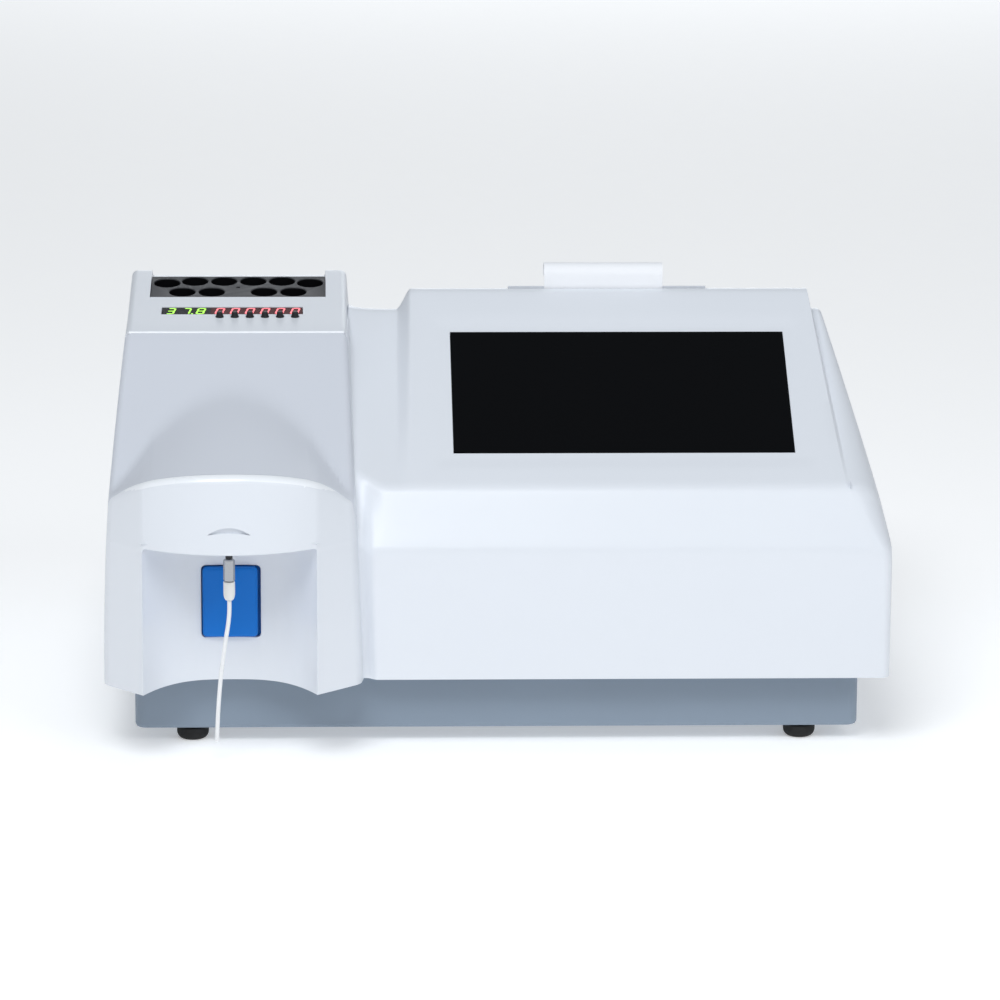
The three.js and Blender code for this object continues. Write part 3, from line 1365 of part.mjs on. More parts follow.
// Printer under its lid: bay, print head, platen on the lid's arms, paper roll and the printed end
function makePrinter(lidShell) {
  const rollLeft = PRINTER.paperLeft + GAP;
  const rollRight = PRINTER.paperLeft + PRINTER.paperWidth - GAP;
  const shaftLeft = rollLeft - 2 * PRINT.arm - GAP;
  const shaftRight = rollRight + 2 * PRINT.arm + GAP;
  const arms = [shaftLeft, shaftRight - PRINT.arm].map((x) =>
    block(
      x,
      x + PRINT.arm,
      PRINT.platenY - PRINT.armDeep / 2 + GAP,
      PRINT.platenY + PRINT.armDeep / 2,
      PRINT.platenZ - PRINT.armDeep / 2,
      roofHeight(PRINT.platenY + PRINT.armDeep) - BODY.wall / 2,
    ),
  );
  const shaftHole = rodX(PRINT.shaft + GAP, shaftRight - shaftLeft + 2 * OVERRUN, 10).translate(
    shaftLeft - OVERRUN,
    PRINT.platenY,
    PRINT.platenZ,
  );
  const tear = sideProfile(
    [
      [PRINTER.front, roofHeight(PRINTER.front) - BODY.wall / 2],
      [PRINTER.front, roofHeight(PRINTER.front) + PRINT.tear],
      [PRINTER.front + BODY.wall, roofHeight(PRINTER.front + BODY.wall) + PRINT.tear / 2],
      [PRINTER.front + 2 * BODY.wall, roofHeight(PRINTER.front + 2 * BODY.wall) - BODY.wall / 2],
    ],
    PRINTER.left,
    PRINTER.right,
  );
  put("printer_lid", cut(join(lidShell, tear, ...arms), shaftHole), WHITE);
  const platen = join(
    rodX(PRINT.platen, rollRight - rollLeft, 16).translate(rollLeft, PRINT.platenY, PRINT.platenZ),
    rodX(PRINT.shaft, shaftRight - shaftLeft, 10).translate(shaftLeft, PRINT.platenY, PRINT.platenZ),
  );
  put("platen_roller", platen, RUBBER);

  const rimTop = (y) => roofHeight(y) - PRINT.rimDrop;
  const side = (inset, top) => [
    [PRINT.bayFront + inset, PRINT.bayLow + PRINT.core * 2],
    [PRINT.bayFront + PRINT.core * 2, PRINT.bayLow + inset],
    [PRINT.bayBack - PRINT.core, PRINT.bayLow + inset],
    [PRINT.bayBack - inset, PRINT.bayLow + PRINT.core],
    [PRINT.bayBack - inset, rimTop(PRINT.bayBack) + top],
    [PRINT.bayFront + PRINT.core, rimTop(PRINT.bayFront + PRINT.core) + top],
    [PRINT.bayFront + inset, PRINT.bayFrontTop + 2 * top],
  ];
  const bay = sideProfile(side(0, 0), PRINT.bayLeft, PRINT.bayRight);
  const [roomLeft, roomRight] = [PRINT.bayLeft + PRINT.wall, PRINT.bayRight - PRINT.wall];
  const room = sideProfile(side(PRINT.wall, OVERRUN), roomLeft, roomRight);
  const rimFront = MAIN.ridge + PRINT.rimSide;
  const rimBack = PRINTER.back + PRINT.rimSide;
  const rim = (x0, x1, y0, y1) => {
    const upper = [[y1, rimTop(y1)], [y0, rimTop(y0)]];
    const lower = [[y0, rimTop(y0) - PRINT.rim], [y1, rimTop(y1) - PRINT.rim]];
    return sideProfile([...lower, ...upper], x0, x1);
  };
  const frame = join(
    rim(PRINT.bayLeft - PRINT.rimSide, PRINT.bayLeft + PRINT.wall, rimFront, rimBack),
    rim(PRINT.bayRight - PRINT.wall, PRINT.bayRight + PRINT.rimSide, rimFront, rimBack),
    rim(PRINT.bayLeft, PRINT.bayRight, PRINT.bayBack - PRINT.wall, rimBack),
  );
  put("printer_bay", cut(join(bay, frame), room), DARK);
  const head = sideProfile(
    [
      [PRINTER.front - PRINTER.slot / 2 - PRINT.head, PRINT.headHigh],
      [PRINTER.front - PRINTER.slot / 2 - PRINT.head, PRINT.headLow - PRINT.rim],
      [PRINT.bayFront - GAP, PRINT.headLow - PRINT.rim],
      [PRINT.bayFront - GAP, PRINT.headLow],
      [PRINTER.front - PRINTER.slot / 2 - 2 * GAP, PRINT.headLow],
      [PRINTER.front - PRINTER.slot / 2 - 2 * GAP, PRINT.headHigh],
    ],
    rollLeft,
    rollRight,
  );
  put("print_head", head, ALUMINIUM);

  const rollZ = PRINT.bayLow + PRINT.wall + GAP + PRINT.roll;
  const ring = turned([
    [PRINT.core, 0],
    [PRINT.roll, 0],
    [PRINT.roll, rollRight - rollLeft],
    [PRINT.core, rollRight - rollLeft],
    [PRINT.core, 0],
  ], 24);
  put("paper_roll", ring.rotateY(Math.PI / 2).translate(rollLeft, PRINT.rollY, rollZ), PAPER);
  put("paper_strip", paperStrip(), PAPER);
}
// The printed end stands up out of the slot and curls backwards
function paperStrip() {
  const y = PRINTER.front - PRINTER.slot / 2;
  const centre = y + PRINT.curl;
  const sheet = new THREE.Shape();
  const turn = Math.PI * 1.1;
  sheet.moveTo(y, PRINT.tongueLow);
  sheet.lineTo(y, PRINT.curlHeight);
  sheet.absarc(centre, PRINT.curlHeight, PRINT.curl, Math.PI, Math.PI - turn, true);
  const inner = PRINT.curl - PRINT.paper;
  sheet.absarc(centre, PRINT.curlHeight, inner, Math.PI - turn, Math.PI, false);
  sheet.lineTo(y + PRINT.paper, PRINT.tongueLow);
  const raised = extrude(sheet, PRINTER.paperWidth, 10);
  raised.applyMatrix4(new THREE.Matrix4().makeBasis(
    new THREE.Vector3(0, 1, 0),
    new THREE.Vector3(0, 0, 1),
    new THREE.Vector3(1, 0, 0),
  ));
  return raised.translate(PRINTER.paperLeft, 0, 0);
}

// Electronics on the tray's floor
function makeElectronics() {
  const E = ELECTRONICS;
  const floor = BASE_FLOOR + GAP;
  const low = floor + E.lift;
  const board = block(E.boardLeft, E.boardRight, E.boardFront, E.boardBack, low, low + E.board);
  const inset = 2 * E.post;
  const posts = [E.boardLeft + inset, E.boardRight - inset].flatMap((x) =>
    [E.boardFront + inset, E.boardBack - inset].map((y) =>
      rod(E.post, E.lift + E.board / 2, 8).translate(x, y, floor),
    ),
  );
  const chips = spread(E.chips).map((share, k) => {
    const x = mix(E.boardLeft, E.boardRight, share);
    const y = mix(E.boardFront, E.boardBack, k % 2 ? 2 / 3 : 1 / 3);
    return block(x, x + E.chip, y, y + E.chip, low, low + 3 * E.board);
  });
  put("main_board", join(board, ...posts, ...chips), BOARD);
  const supply = block(E.supplyLeft, E.supplyRight, E.supplyFront, E.supplyBack, floor, E.supplyTop);
  const [ventFront, ventBack] = [E.supplyFront + 2 * E.vent, E.supplyBack - 2 * E.vent];
  const vents = spread(E.vents).map((share) => {
    const x = mix(E.supplyLeft, E.supplyRight, share);
    return block(x, x + E.vent, ventFront, ventBack, E.supplyTop - E.vent, E.supplyTop + E.vent);
  });
  put("power_supply", cut(supply, ...vents), ALUMINIUM);
}

// Rear panel with its fan, inlet, rocker switch, data port and waste port
function makeRear() {
  const inner = BODY.back - BODY.wall - GAP;
  const front = inner - REAR.plate;
  const back = inner + GAP;
  const sheet = block(
    REAR.left - REAR.lap,
    REAR.right + REAR.lap,
    front,
    inner,
    REAR.low - REAR.lap,
    REAR.high + REAR.lap,
  );
  const through = (shape, x, z, segments = 3) =>
    facing(shape, REAR.plate + 2 * OVERRUN, segments).translate(x, front - OVERRUN, z);
  const rings = [];
  for (let k = 1; k <= FAN.rings; k += 1) {
    const radius = (FAN.bore * k) / FAN.rings;
    const ring = new THREE.Shape().absarc(0, 0, radius, 0, 2 * Math.PI, false);
    const inside = radius - FAN.bore / FAN.rings / 2;
    ring.holes.push(new THREE.Path().absarc(0, 0, inside, 0, 2 * Math.PI, true));
    rings.push(through(ring, FAN.x, FAN.z, 8));
  }
  const spokes = [1, -1].map((side) =>
    block(-FAN.bore, FAN.bore, front - 2 * OVERRUN, inner + 2 * OVERRUN, -FAN.spoke / 2, FAN.spoke / 2)
      .rotateY((side * Math.PI) / 4)
      .translate(FAN.x, 0, FAN.z),
  );
  const grille = cut(join(...rings), ...spokes);
  const round = (radius) => new THREE.Shape().absarc(0, 0, radius, 0, 2 * Math.PI, false);
  put(
    "rear_panel",
    cut(
      sheet,
      grille,
      through(roundedRect(INLET.width, INLET.height, INLET.rim), INLET.x, INLET.z),
      through(roundedRect(ROCKER.width, ROCKER.height, GAP), ROCKER.x, ROCKER.z),
      through(roundedRect(PORT.width, PORT.height, INLET.rim), PORT.x, PORT.z),
      through(round(WASTE.radius + 3 * GAP / 2), WASTE.x, WASTE.z, 8),
    ),
    ALUMINIUM,
  );

  const frameBack = front - GAP;
  const frame = facing(roundedRect(FAN.size, FAN.size, FAN.hub / 2), FAN.depth);
  const place = (geometry) => geometry.translate(FAN.x, frameBack - FAN.depth, FAN.z);
  const bore = rodY(FAN.bore, FAN.depth, 28).translate(0, FAN.blade, 0);
  const arms = [0, 1, 2].map((k) =>
    block(-FAN.spoke / 2, FAN.spoke / 2, -2 * OVERRUN, FAN.blade, 0, FAN.size)
      .rotateY((2 * Math.PI * k) / 3),
  );
  const boss = rodY(FAN.hub, 2 * OVERRUN + FAN.blade, 16).translate(0, -2 * OVERRUN, 0);
  const throat = rodY(FAN.bore, 2 * OVERRUN + FAN.depth, 28).translate(0, -OVERRUN, 0);
  const slots = cut(throat, ...arms, boss);
  put("fan_frame", place(geometryOf(cut(frame, bore, slots))), BLACK);
  const hubLength = FAN.depth - FAN.blade - 2 * GAP - GAP;
  const hub = rodY(FAN.hub, hubLength, 16);
  const blades = Array.from({ length: FAN.blades }, (_, k) =>
    block(-FAN.blade / 2, FAN.blade / 2, -hubLength / 2, hubLength / 2, FAN.hub / 2, FAN.bore - 2 * GAP)
      .rotateZ(Math.PI / 5)
      .translate(0, hubLength / 2, 0)
      .rotateY((2 * Math.PI * k) / FAN.blades),
  );
  const limits = rodY(FAN.bore - 2 * GAP, hubLength, 28);
  const rotor = common(join(hub, ...blades), limits);
  put("fan_rotor", place(geometryOf(rotor).translate(0, FAN.blade + GAP, 0)), BLACK);

  makeInlet(back);
  makeRocker(back);
  makePort(back);
  const waste = turned([
    [WASTE.bore, 0],
    [WASTE.radius, 0],
    [WASTE.radius, WASTE.depth],
    [WASTE.rim, WASTE.depth],
    [WASTE.rim, WASTE.depth + REAR.plate],
    [WASTE.bore, WASTE.depth + REAR.plate],
    [WASTE.bore, 0],
  ], 14).rotateX(-Math.PI / 2);
  put("waste_port", waste.translate(WASTE.x, back - WASTE.depth, WASTE.z), NATURAL);
}
function makePort(back) {
  const { width, height, depth, screw, wall } = PORT;
  const flange = facing(roundedRect(width + 4 * screw, height + screw, screw), REAR.plate / 2);
  const body = facing(roundedRect(width - 2 * GAP, height - 2 * GAP, INLET.rim), depth);
  const socket = facing(roundedRect(width - 2 * wall, height - 2 * wall, INLET.rim), depth);
  const shell = join(flange.translate(0, back, 0), body.translate(0, back - depth, 0));
  const port = cut(shell, socket.translate(0, back - depth / 2, 0));
  put("data_port", geometryOf(port).translate(PORT.x, 0, PORT.z), STEEL);
}
function makeInlet(back) {
  const { width, height, depth, rim, floor, pin, pinSpacing } = INLET;
  const body = facing(roundedRect(width - 2 * GAP, height - 2 * GAP, rim), depth)
    .translate(0, back - depth, 0);
  const flange = facing(roundedRect(width + 2 * rim, height + 2 * rim, rim), REAR.plate)
    .translate(0, back, 0);
  const well = facing(roundedRect(width - 3 * rim, height - 3 * rim, rim), floor + OVERRUN)
    .translate(0, back + REAR.plate - floor, 0);
  const pins = [-1, 0, 1].map((k) =>
    block(k * pinSpacing - pin, k * pinSpacing + pin, back - floor - pin, back - floor / 3, -rim, rim / 2),
  );
  const inlet = geometryOf(join(cut(join(body, flange), well), ...pins));
  put("power_inlet", inlet.translate(INLET.x, 0, INLET.z), BLACK);
}
function makeRocker(back) {
  const { width, height, rim, wall, depth, tilt, crown } = ROCKER;
  const body = facing(roundedRect(width - 2 * GAP, height - 2 * GAP, GAP), depth)
    .translate(0, back - depth, 0);
  const flange = facing(roundedRect(width + 2 * rim, height + 2 * rim, rim), REAR.plate / 2)
    .translate(0, back, 0);
  const roomHalf = width / 2 - GAP - wall;
  const roomTall = height / 2 - GAP - wall;
  const room = block(-roomHalf, roomHalf, back - depth + 2 * wall, back + depth, -roomTall, roomTall);
  const frame = geometryOf(cut(join(body, flange), room));
  put("switch_frame", frame.translate(ROCKER.x, 0, ROCKER.z), BLACK);
  const reach = roomTall - 2 * GAP;
  const lean = (tilt * Math.PI) / 180;
  const half = sideProfile(
    [
      [0, -reach * Math.cos(lean)],
      [crown, -reach / 2],
      [crown / 2, 0],
      [crown, reach / 2],
      [0, reach * Math.cos(lean)],
      [-wall * 2, reach / 2],
      [-wall * 2, -reach / 2],
    ],
    -roomHalf + GAP,
    roomHalf - GAP,
  );
  put("power_rocker", half.rotateX(-lean).translate(ROCKER.x, back - wall / 2, ROCKER.z), BLACK);
}

const model = new THREE.Group();
model.position.y = -CENTRE_DEPTH;
const put = (name, shape, finish) => model.add(node(name, shape, finish));

const housing = makeHousing();
put("upper_cover", housing.cover, WHITE);
put("access_lid", housing.lid, WHITE);
makeHingeRods();
makeBase();
makeDisplay();
makeIncubator();
makeTimers();
makeSampleBay();
makeTube();
makeChassis();
makePump();
makeOptics();
makePrinter(housing.printerLid);
makeElectronics();
makeRear();

export default model;
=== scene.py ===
import logging
import math
from dataclasses import dataclass, field
from enum import Enum
from typing import Callable, Sequence

import bmesh
import bpy
import numpy as np
from mathutils import Matrix, Vector


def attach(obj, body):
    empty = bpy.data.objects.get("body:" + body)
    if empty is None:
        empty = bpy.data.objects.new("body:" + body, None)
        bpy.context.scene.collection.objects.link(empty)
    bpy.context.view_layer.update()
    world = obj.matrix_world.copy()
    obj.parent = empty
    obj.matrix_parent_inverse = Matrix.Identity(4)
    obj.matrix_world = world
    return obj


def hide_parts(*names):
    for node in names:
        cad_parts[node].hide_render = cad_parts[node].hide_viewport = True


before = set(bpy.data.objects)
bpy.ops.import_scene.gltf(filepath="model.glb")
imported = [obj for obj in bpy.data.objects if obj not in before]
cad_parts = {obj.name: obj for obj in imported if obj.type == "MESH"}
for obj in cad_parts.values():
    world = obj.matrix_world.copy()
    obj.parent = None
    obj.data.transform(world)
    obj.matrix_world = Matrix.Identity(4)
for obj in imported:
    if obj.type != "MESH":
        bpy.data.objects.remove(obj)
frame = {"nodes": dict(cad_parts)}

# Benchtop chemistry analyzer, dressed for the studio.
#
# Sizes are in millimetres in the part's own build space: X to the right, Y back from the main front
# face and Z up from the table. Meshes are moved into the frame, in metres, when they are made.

log = logging.getLogger("analyzer")

# A millimetre in metres, the depth of the frame's origin, the play round a piece set into another,
# the place of the sipper across and in depth, and the sides of a round body.
MM = 0.001
CENTRE_DEPTH = 114.0
GAP = 0.3
SIPPER = (-120.8, -18.0)
SIDES = 48

Array = np.ndarray
Object, Tree, Node, Socket = bpy.types.Object, bpy.types.NodeTree, bpy.types.Node, bpy.types.NodeSocket
Solid = tuple[Array, list]
Outline = tuple[tuple[float, float], ...]


# Shape helpers


def ramp(start: float, end: float, value: Array) -> Array:
    """Straight rise from 0 at start to 1 at end, held outside."""
    return np.clip((value - start) / (end - start), 0.0, 1.0)


def ease(share: Array) -> Array:
    """Smooth step: three shares squared less two shares cubed."""
    return share * share * (3.0 - 2.0 * share)


def mix(low: Array, high: Array, share: Array) -> Array:
    """Straight blend of two values."""
    return low + (high - low) * share


def bump(across: Array) -> Array:
    """Parabola that is 1 in the middle and 0 from the edges outwards."""
    return np.maximum(0.0, 1.0 - across * across)


def smooth_min(one: Array, other: Array, blend: float) -> Array:
    """Smaller of two values, with a quadratic fillet where they come within the blend of each other."""
    near = np.maximum(0.0, 1.0 - np.abs(one - other) / blend)
    return np.minimum(one, other) - near * near * blend / 4.0


def smooth_max(one: Array, other: Array, blend: float) -> Array:
    """Larger of two values, filleted in the same way."""
    return -smooth_min(-one, -other, blend)


def line(start: Array, end: Array, count: int) -> Array:
    """Points between two others, both ends left out."""
    shares = np.arange(1, count + 1)[:, None] / (count + 1)
    return mix(start[None], end[None], shares)


def curve(start: Array, pull: Array, end: Array, count: int) -> Array:
    """Quadratic curve: the ends weighted by squares and the pull point by twice the product."""
    t = np.linspace(0.0, 1.0, count)[:, None]
    return (1 - t) ** 2 * start + 2 * t * (1 - t) * pull + t * t * end


def refine(knots: Array, parts: int) -> Array:
    """Values between knots, each stretch cut into equal parts.

    Args:
        knots: the values that are kept.
        parts: how many parts each stretch is cut into.

    Returns:
        The knots with the values between them.
    """
    knots = np.asarray(knots, float)
    at = np.linspace(0, len(knots) - 1, (len(knots) - 1) * parts + 1)
    return np.interp(at, np.arange(len(knots)), knots)


# Mesh helpers


def make_object(name: str, points: Array, faces: Sequence, smooth: float | None = 30.0) -> Object:
    """Makes a mesh object in the frame from points in the build space.

    Args:
        name: the object's name.
        points: n by 3 places in millimetres.
        faces: vertex numbers of each face.
        smooth: edges sharper than this many degrees stay sharp; None keeps flat faces.

    Returns:
        The new object, linked to the scene.
    """
    placed = (np.asarray(points, float) - [0.0, CENTRE_DEPTH, 0.0]) * MM
    mesh = bpy.data.meshes.new(name)
    mesh.from_pydata(placed.tolist(), [], [list(f) for f in faces])
    mesh.validate()
    mesh.update()
    made = bpy.data.objects.new(name, mesh)
    bpy.context.scene.collection.objects.link(made)
    shade(made, smooth)
    return made


def shade(made: Object, smooth: float | None = 30.0) -> None:
    """Shades a mesh smooth but for the edges sharper than an angle in degrees.

    Args:
        made: the object.
        smooth: that angle; None keeps flat faces.
    """
    flags = np.full(len(made.data.polygons), smooth is not None)
    made.data.polygons.foreach_set("use_smooth", flags)
    if smooth is not None:
        made.data.set_sharp_from_angle(angle=math.radians(smooth))


def settle(made: Object) -> None:
    """Turns a closed mesh's faces outwards.

    Args:
        made: the object whose mesh is turned.
    """
    work = bmesh.new()
    work.from_mesh(made.data)
    bmesh.ops.recalc_face_normals(work, faces=work.faces)
    work.to_mesh(made.data)
    work.free()


def make_solid(name: str, body: Solid, smooth: float | None = 30.0) -> Object:
    """Makes a closed body whose faces all look outwards.

    Args:
        name: the object's name.
        body: points in the build space, and faces.
        smooth: edges sharper than this many degrees stay sharp; None keeps flat faces.

    Returns:
        The new object.
    """
    made = make_object(name, *body, smooth)
    settle(made)
    return made


def moved(body: Solid, move: Sequence[float]) -> Solid:
    """Body carried by a distance along each axis."""
    return body[0] + move, body[1]


def laid(body: Solid, place: Callable[[Array], Array]) -> Solid:
    """Body whose points a placing function moves."""
    return place(body[0]), body[1]


def prism(outline: Array, low: float, high: float, order: tuple[int, int, int]) -> Solid:
    """Closed prism: an outline in two axes, carried along the third from low to high.

    Args:
        outline: n by 2 corners.
        low: start of the run.
        high: end of the run.
        order: the axis numbers of the outline's first and second value and of the run.

    Returns:
        Points and faces.
    """
    count = len(outline)
    points = np.zeros((2 * count, 3))
    points[:, order[0]] = np.tile(outline[:, 0], 2)
    points[:, order[1]] = np.tile(outline[:, 1], 2)
    points[:count, order[2]] = low
    points[count:, order[2]] = high
    ring = np.arange(count)
    after = np.roll(ring, -1)
    sides = np.stack([ring, after, after + count, ring + count], 1).tolist()
    return points, [ring[::-1].tolist(), (ring + count).tolist(), *sides]


def box(low: Sequence[float], high: Sequence[float]) -> Solid:
    """Closed box between two corners."""
    (x0, y0, z0), (x1, y1, z1) = low, high
    return prism(np.array([[x0, y0], [x1, y0], [x1, y1], [x0, y1]]), z0, z1, (0, 1, 2))


def wound(rings: int, sides: int) -> tuple[Array, list]:
    """Quads between closed rings of points that follow one another.

    Args:
        rings: how many rings there are.
        sides: points in each ring.

    Returns:
        Point numbers as rings by sides, and faces.
    """
    cell = np.arange(rings * sides).reshape(rings, sides)
    turned = np.roll(cell, -1, 1)
    quads = np.stack([cell[:-1], turned[:-1], turned[1:], cell[1:]], -1)
    return cell, quads.reshape(-1, 4).tolist()


def lathe(profile: Sequence, sides: int = SIDES) -> Solid:
    """Turned body about Z.

    Args:
        profile: radius and height pairs, from the axis to the axis.
        sides: points round a full turn.

    Returns:
        Points and faces.
    """
    profile = np.asarray(profile, float)
    angle = np.linspace(0, 2 * np.pi, sides, endpoint=False)
    ring = profile[1:-1]
    x = ring[:, :1] * np.cos(angle)
    y = ring[:, :1] * np.sin(angle)
    z = np.repeat(ring[:, 1:], sides, 1)
    points = np.stack([x, y, z], -1).reshape(-1, 3)
    ends = np.array([[0, 0, profile[0, 1]], [0, 0, profile[-1, 1]]])
    cell, quads = wound(len(ring), sides)
    turned = np.roll(cell, -1, 1)
    first = np.stack([turned[0], cell[0], np.full(sides, len(points))], 1).tolist()
    last = np.stack([cell[-1], turned[-1], np.full(sides, len(points) + 1)], 1).tolist()
    return np.vstack([points, ends]), quads + first + last


def pin(radius: float, low: float, high: float, sides: int = SIDES) -> Solid:
    """Plain cylinder about Z between two heights."""
    return lathe([[0, low], [radius, low], [radius, high], [0, high]], sides)


def rounded(width: float, height: float, radius: float, steps: int = 8) -> Array:
    """Rounded rectangle about the origin: a quarter circle on each corner.

    Args:
        width: full size across.
        height: full size upwards.
        radius: of each corner.
        steps: points on each corner.

    Returns:
        The outline's points, counter-clockwise.
    """
    turn = np.linspace(0, np.pi / 2, steps)
    corners = []
    for k, (sx, sy) in enumerate([(1, 1), (-1, 1), (-1, -1), (1, -1)]):
        centre = np.array([sx * (width / 2 - radius), sy * (height / 2 - radius)])
        angle = turn + k * np.pi / 2
        corners.append(centre + radius * np.stack([np.cos(angle), np.sin(angle)], 1))
    return np.vstack(corners)


def joined(*parts: Solid) -> Solid:
    """Several bodies as one list of points and faces.

    Args:
        parts: the bodies.

    Returns:
        Points and faces.
    """
    points, faces, start = [], [], 0
    for part_points, part_faces in parts:
        points.append(part_points)
        faces += [[v + start for v in f] for f in part_faces]
        start += len(part_points)
    return np.vstack(points), faces


class Cut(Enum):
    """What carving leaves: the target without the tool, or what both of them fill."""

    AWAY = "DIFFERENCE"
    COMMON = "INTERSECT"


def carve(target: Object, tool: Object, cut: Cut) -> None:
    """Carves a closed mesh with another, and keeps the result as plain mesh.

    Args:
        target: the mesh that is changed.
        tool: the mesh it is changed with.
        cut: what is left.
    """
    step = target.modifiers.new("carve", "BOOLEAN")
    step.operation = cut.value
    step.solver = "MANIFOLD"
    step.object = tool
    graph = bpy.context.evaluated_depsgraph_get()
    result = bpy.data.meshes.new_from_object(target.evaluated_get(graph))
    target.modifiers.clear()
    target.data = result


def discard(*tools: Object) -> None:
    """Removes cutting bodies once they are used."""
    for tool in tools:
        bpy.data.objects.remove(tool, do_unlink=True)


def shell(grid: Array, wall: float) -> Solid:
    """Closed sheet from a grid of points: each point has a twin one wall inwards along its normal.

    The normal is the sum of the faces around a point, each weighted by its area, and the open rim is
    closed by a band between the two skins.

    Args:
        grid: columns by rows by 3.
        wall: thickness.

    Returns:
        Points and faces.
    """
    columns, rows = grid.shape[:2]
    flat = np.round(grid.reshape(-1, 3), 3)
    outer, place = np.unique(flat, axis=0, return_inverse=True)
    cell = place.reshape(columns, rows)
    a, b = cell[:-1, :-1].ravel(), cell[1:, :-1].ravel()
    c, d = cell[1:, 1:].ravel(), cell[:-1, 1:].ravel()
    tri = np.vstack([np.stack([a, b, c], 1), np.stack([a, c, d], 1)])
    tri = tri[(tri[:, 0] != tri[:, 1]) & (tri[:, 1] != tri[:, 2]) & (tri[:, 2] != tri[:, 0])]
    area = np.cross(outer[tri[:, 1]] - outer[tri[:, 0]], outer[tri[:, 2]] - outer[tri[:, 0]])
    normal = np.zeros_like(outer)
    for corner in range(3):
        np.add.at(normal, tri[:, corner], area)
    normal /= np.linalg.norm(normal, axis=1, keepdims=True) + 1e-12
    count = len(outer)
    edges = np.vstack([tri[:, [0, 1]], tri[:, [1, 2]], tri[:, [2, 0]]]).astype(np.int64)
    forward = edges[:, 0] * count + edges[:, 1]
    backward = edges[:, 1] * count + edges[:, 0]
    rim = edges[~np.isin(forward, backward)]
    band = np.stack([rim[:, 1], rim[:, 0], rim[:, 0] + count, rim[:, 1] + count], 1)
    faces = [*tri.tolist(), *(tri[:, ::-1] + count).tolist(), *band.tolist()]
    return np.vstack([outer, outer - wall * normal]), faces


def face_centres(made: Object) -> Array:
    """Middles of a piece's faces, back in the build space.

    Args:
        made: the piece.

    Returns:
        One row each for the places across, in depth and in height.
    """
    centre = np.zeros(3 * len(made.data.polygons))
    made.data.polygons.foreach_get("center", centre)
    return (centre.reshape(-1, 3) / MM + [0, CENTRE_DEPTH, 0]).T


# Finishes


@dataclass(frozen=True)
class Finish:
    """A surface: its colour, its gloss, and how much each wanders over the piece."""

    name: str
    colour: tuple[float, float, float]
    roughness: float
    metallic: float = 0.0
    grain: float = 900.0
    grain_depth: float = 0.00002
    tint: float = 0.03
    coat: float = 0.0
    ior: float = 1.46
    shine: float = 0.5
    cloud: float = 14.0
    wear: float = 60.0
    wear_span: tuple[float, float] = (0.9, 1.12)
    coat_roughness: float = 0.15
    bump_strength: float = 0.6

    @property
    def label(self) -> str:
        """Name of the material, apart from the frame's plain ones."""
        return f"{self.name}_finish"

    def build(self) -> bpy.types.Material:
        """Makes the material: noise on object coordinates moves colour, roughness and a fine bump.

        Returns:
            The material, made once for each finish.
        """
        known = bpy.data.materials.get(self.label)
        if known:
            return known
        material = bpy.data.materials.new(self.label)
        material.use_nodes = True
        tree = material.node_tree
        shader = tree.nodes["Principled BSDF"]
        shader.inputs["Metallic"].default_value = self.metallic
        shader.inputs["IOR"].default_value = self.ior
        shader.inputs["Specular IOR Level"].default_value = self.shine
        shader.inputs["Coat Weight"].default_value = self.coat
        shader.inputs["Coat Roughness"].default_value = self.coat_roughness
        place = tree.nodes.new("ShaderNodeTexCoord").outputs["Object"]
        self.paint(tree, shader, place)
        self.roughen(tree, shader, place)
        return material

    def paint(self, tree: Tree, shader: Node, place: Socket) -> None:
        """Drives the base colour by broad, soft noise between two near shades.

        Args:
            tree: the material's node tree.
            shader: the node that is driven.
            place: the coordinates to read.
        """
        cloud = noise(tree, place, self.cloud)
        shades = tree.nodes.new("ShaderNodeMix")
        shades.data_type = "RGBA"
        dark = [c * (1 - self.tint) for c in self.colour]
        light = [min(1.0, c * (1 + self.tint)) for c in self.colour]
        shades.inputs["A"].default_value = (*dark, 1)
        shades.inputs["B"].default_value = (*light, 1)
        tree.links.new(cloud, shades.inputs["Factor"])
        tree.links.new(shades.outputs["Result"], shader.inputs["Base Color"])

    def roughen(self, tree: Tree, shader: Node, place: Socket) -> None:
        """Drives roughness by middling noise, and the bump by the fine moulding grain.

        Args:
            tree: the material's node tree.
            shader: the node that is driven.
            place: the coordinates to read.
        """
        wear = noise(tree, place, self.wear)
        span = tree.nodes.new("ShaderNodeMapRange")
        least, most = self.wear_span
        span.inputs["To Min"].default_value = self.roughness * least
        span.inputs["To Max"].default_value = min(1.0, self.roughness * most)
        tree.links.new(wear, span.inputs["Value"])
        tree.links.new(span.outputs["Result"], shader.inputs["Roughness"])
        bumps = tree.nodes.new("ShaderNodeBump")
        bumps.inputs["Distance"].default_value = self.grain_depth
        bumps.inputs["Strength"].default_value = self.bump_strength
        tree.links.new(noise(tree, place, self.grain), bumps.inputs["Height"])
        tree.links.new(bumps.outputs["Normal"], shader.inputs["Normal"])


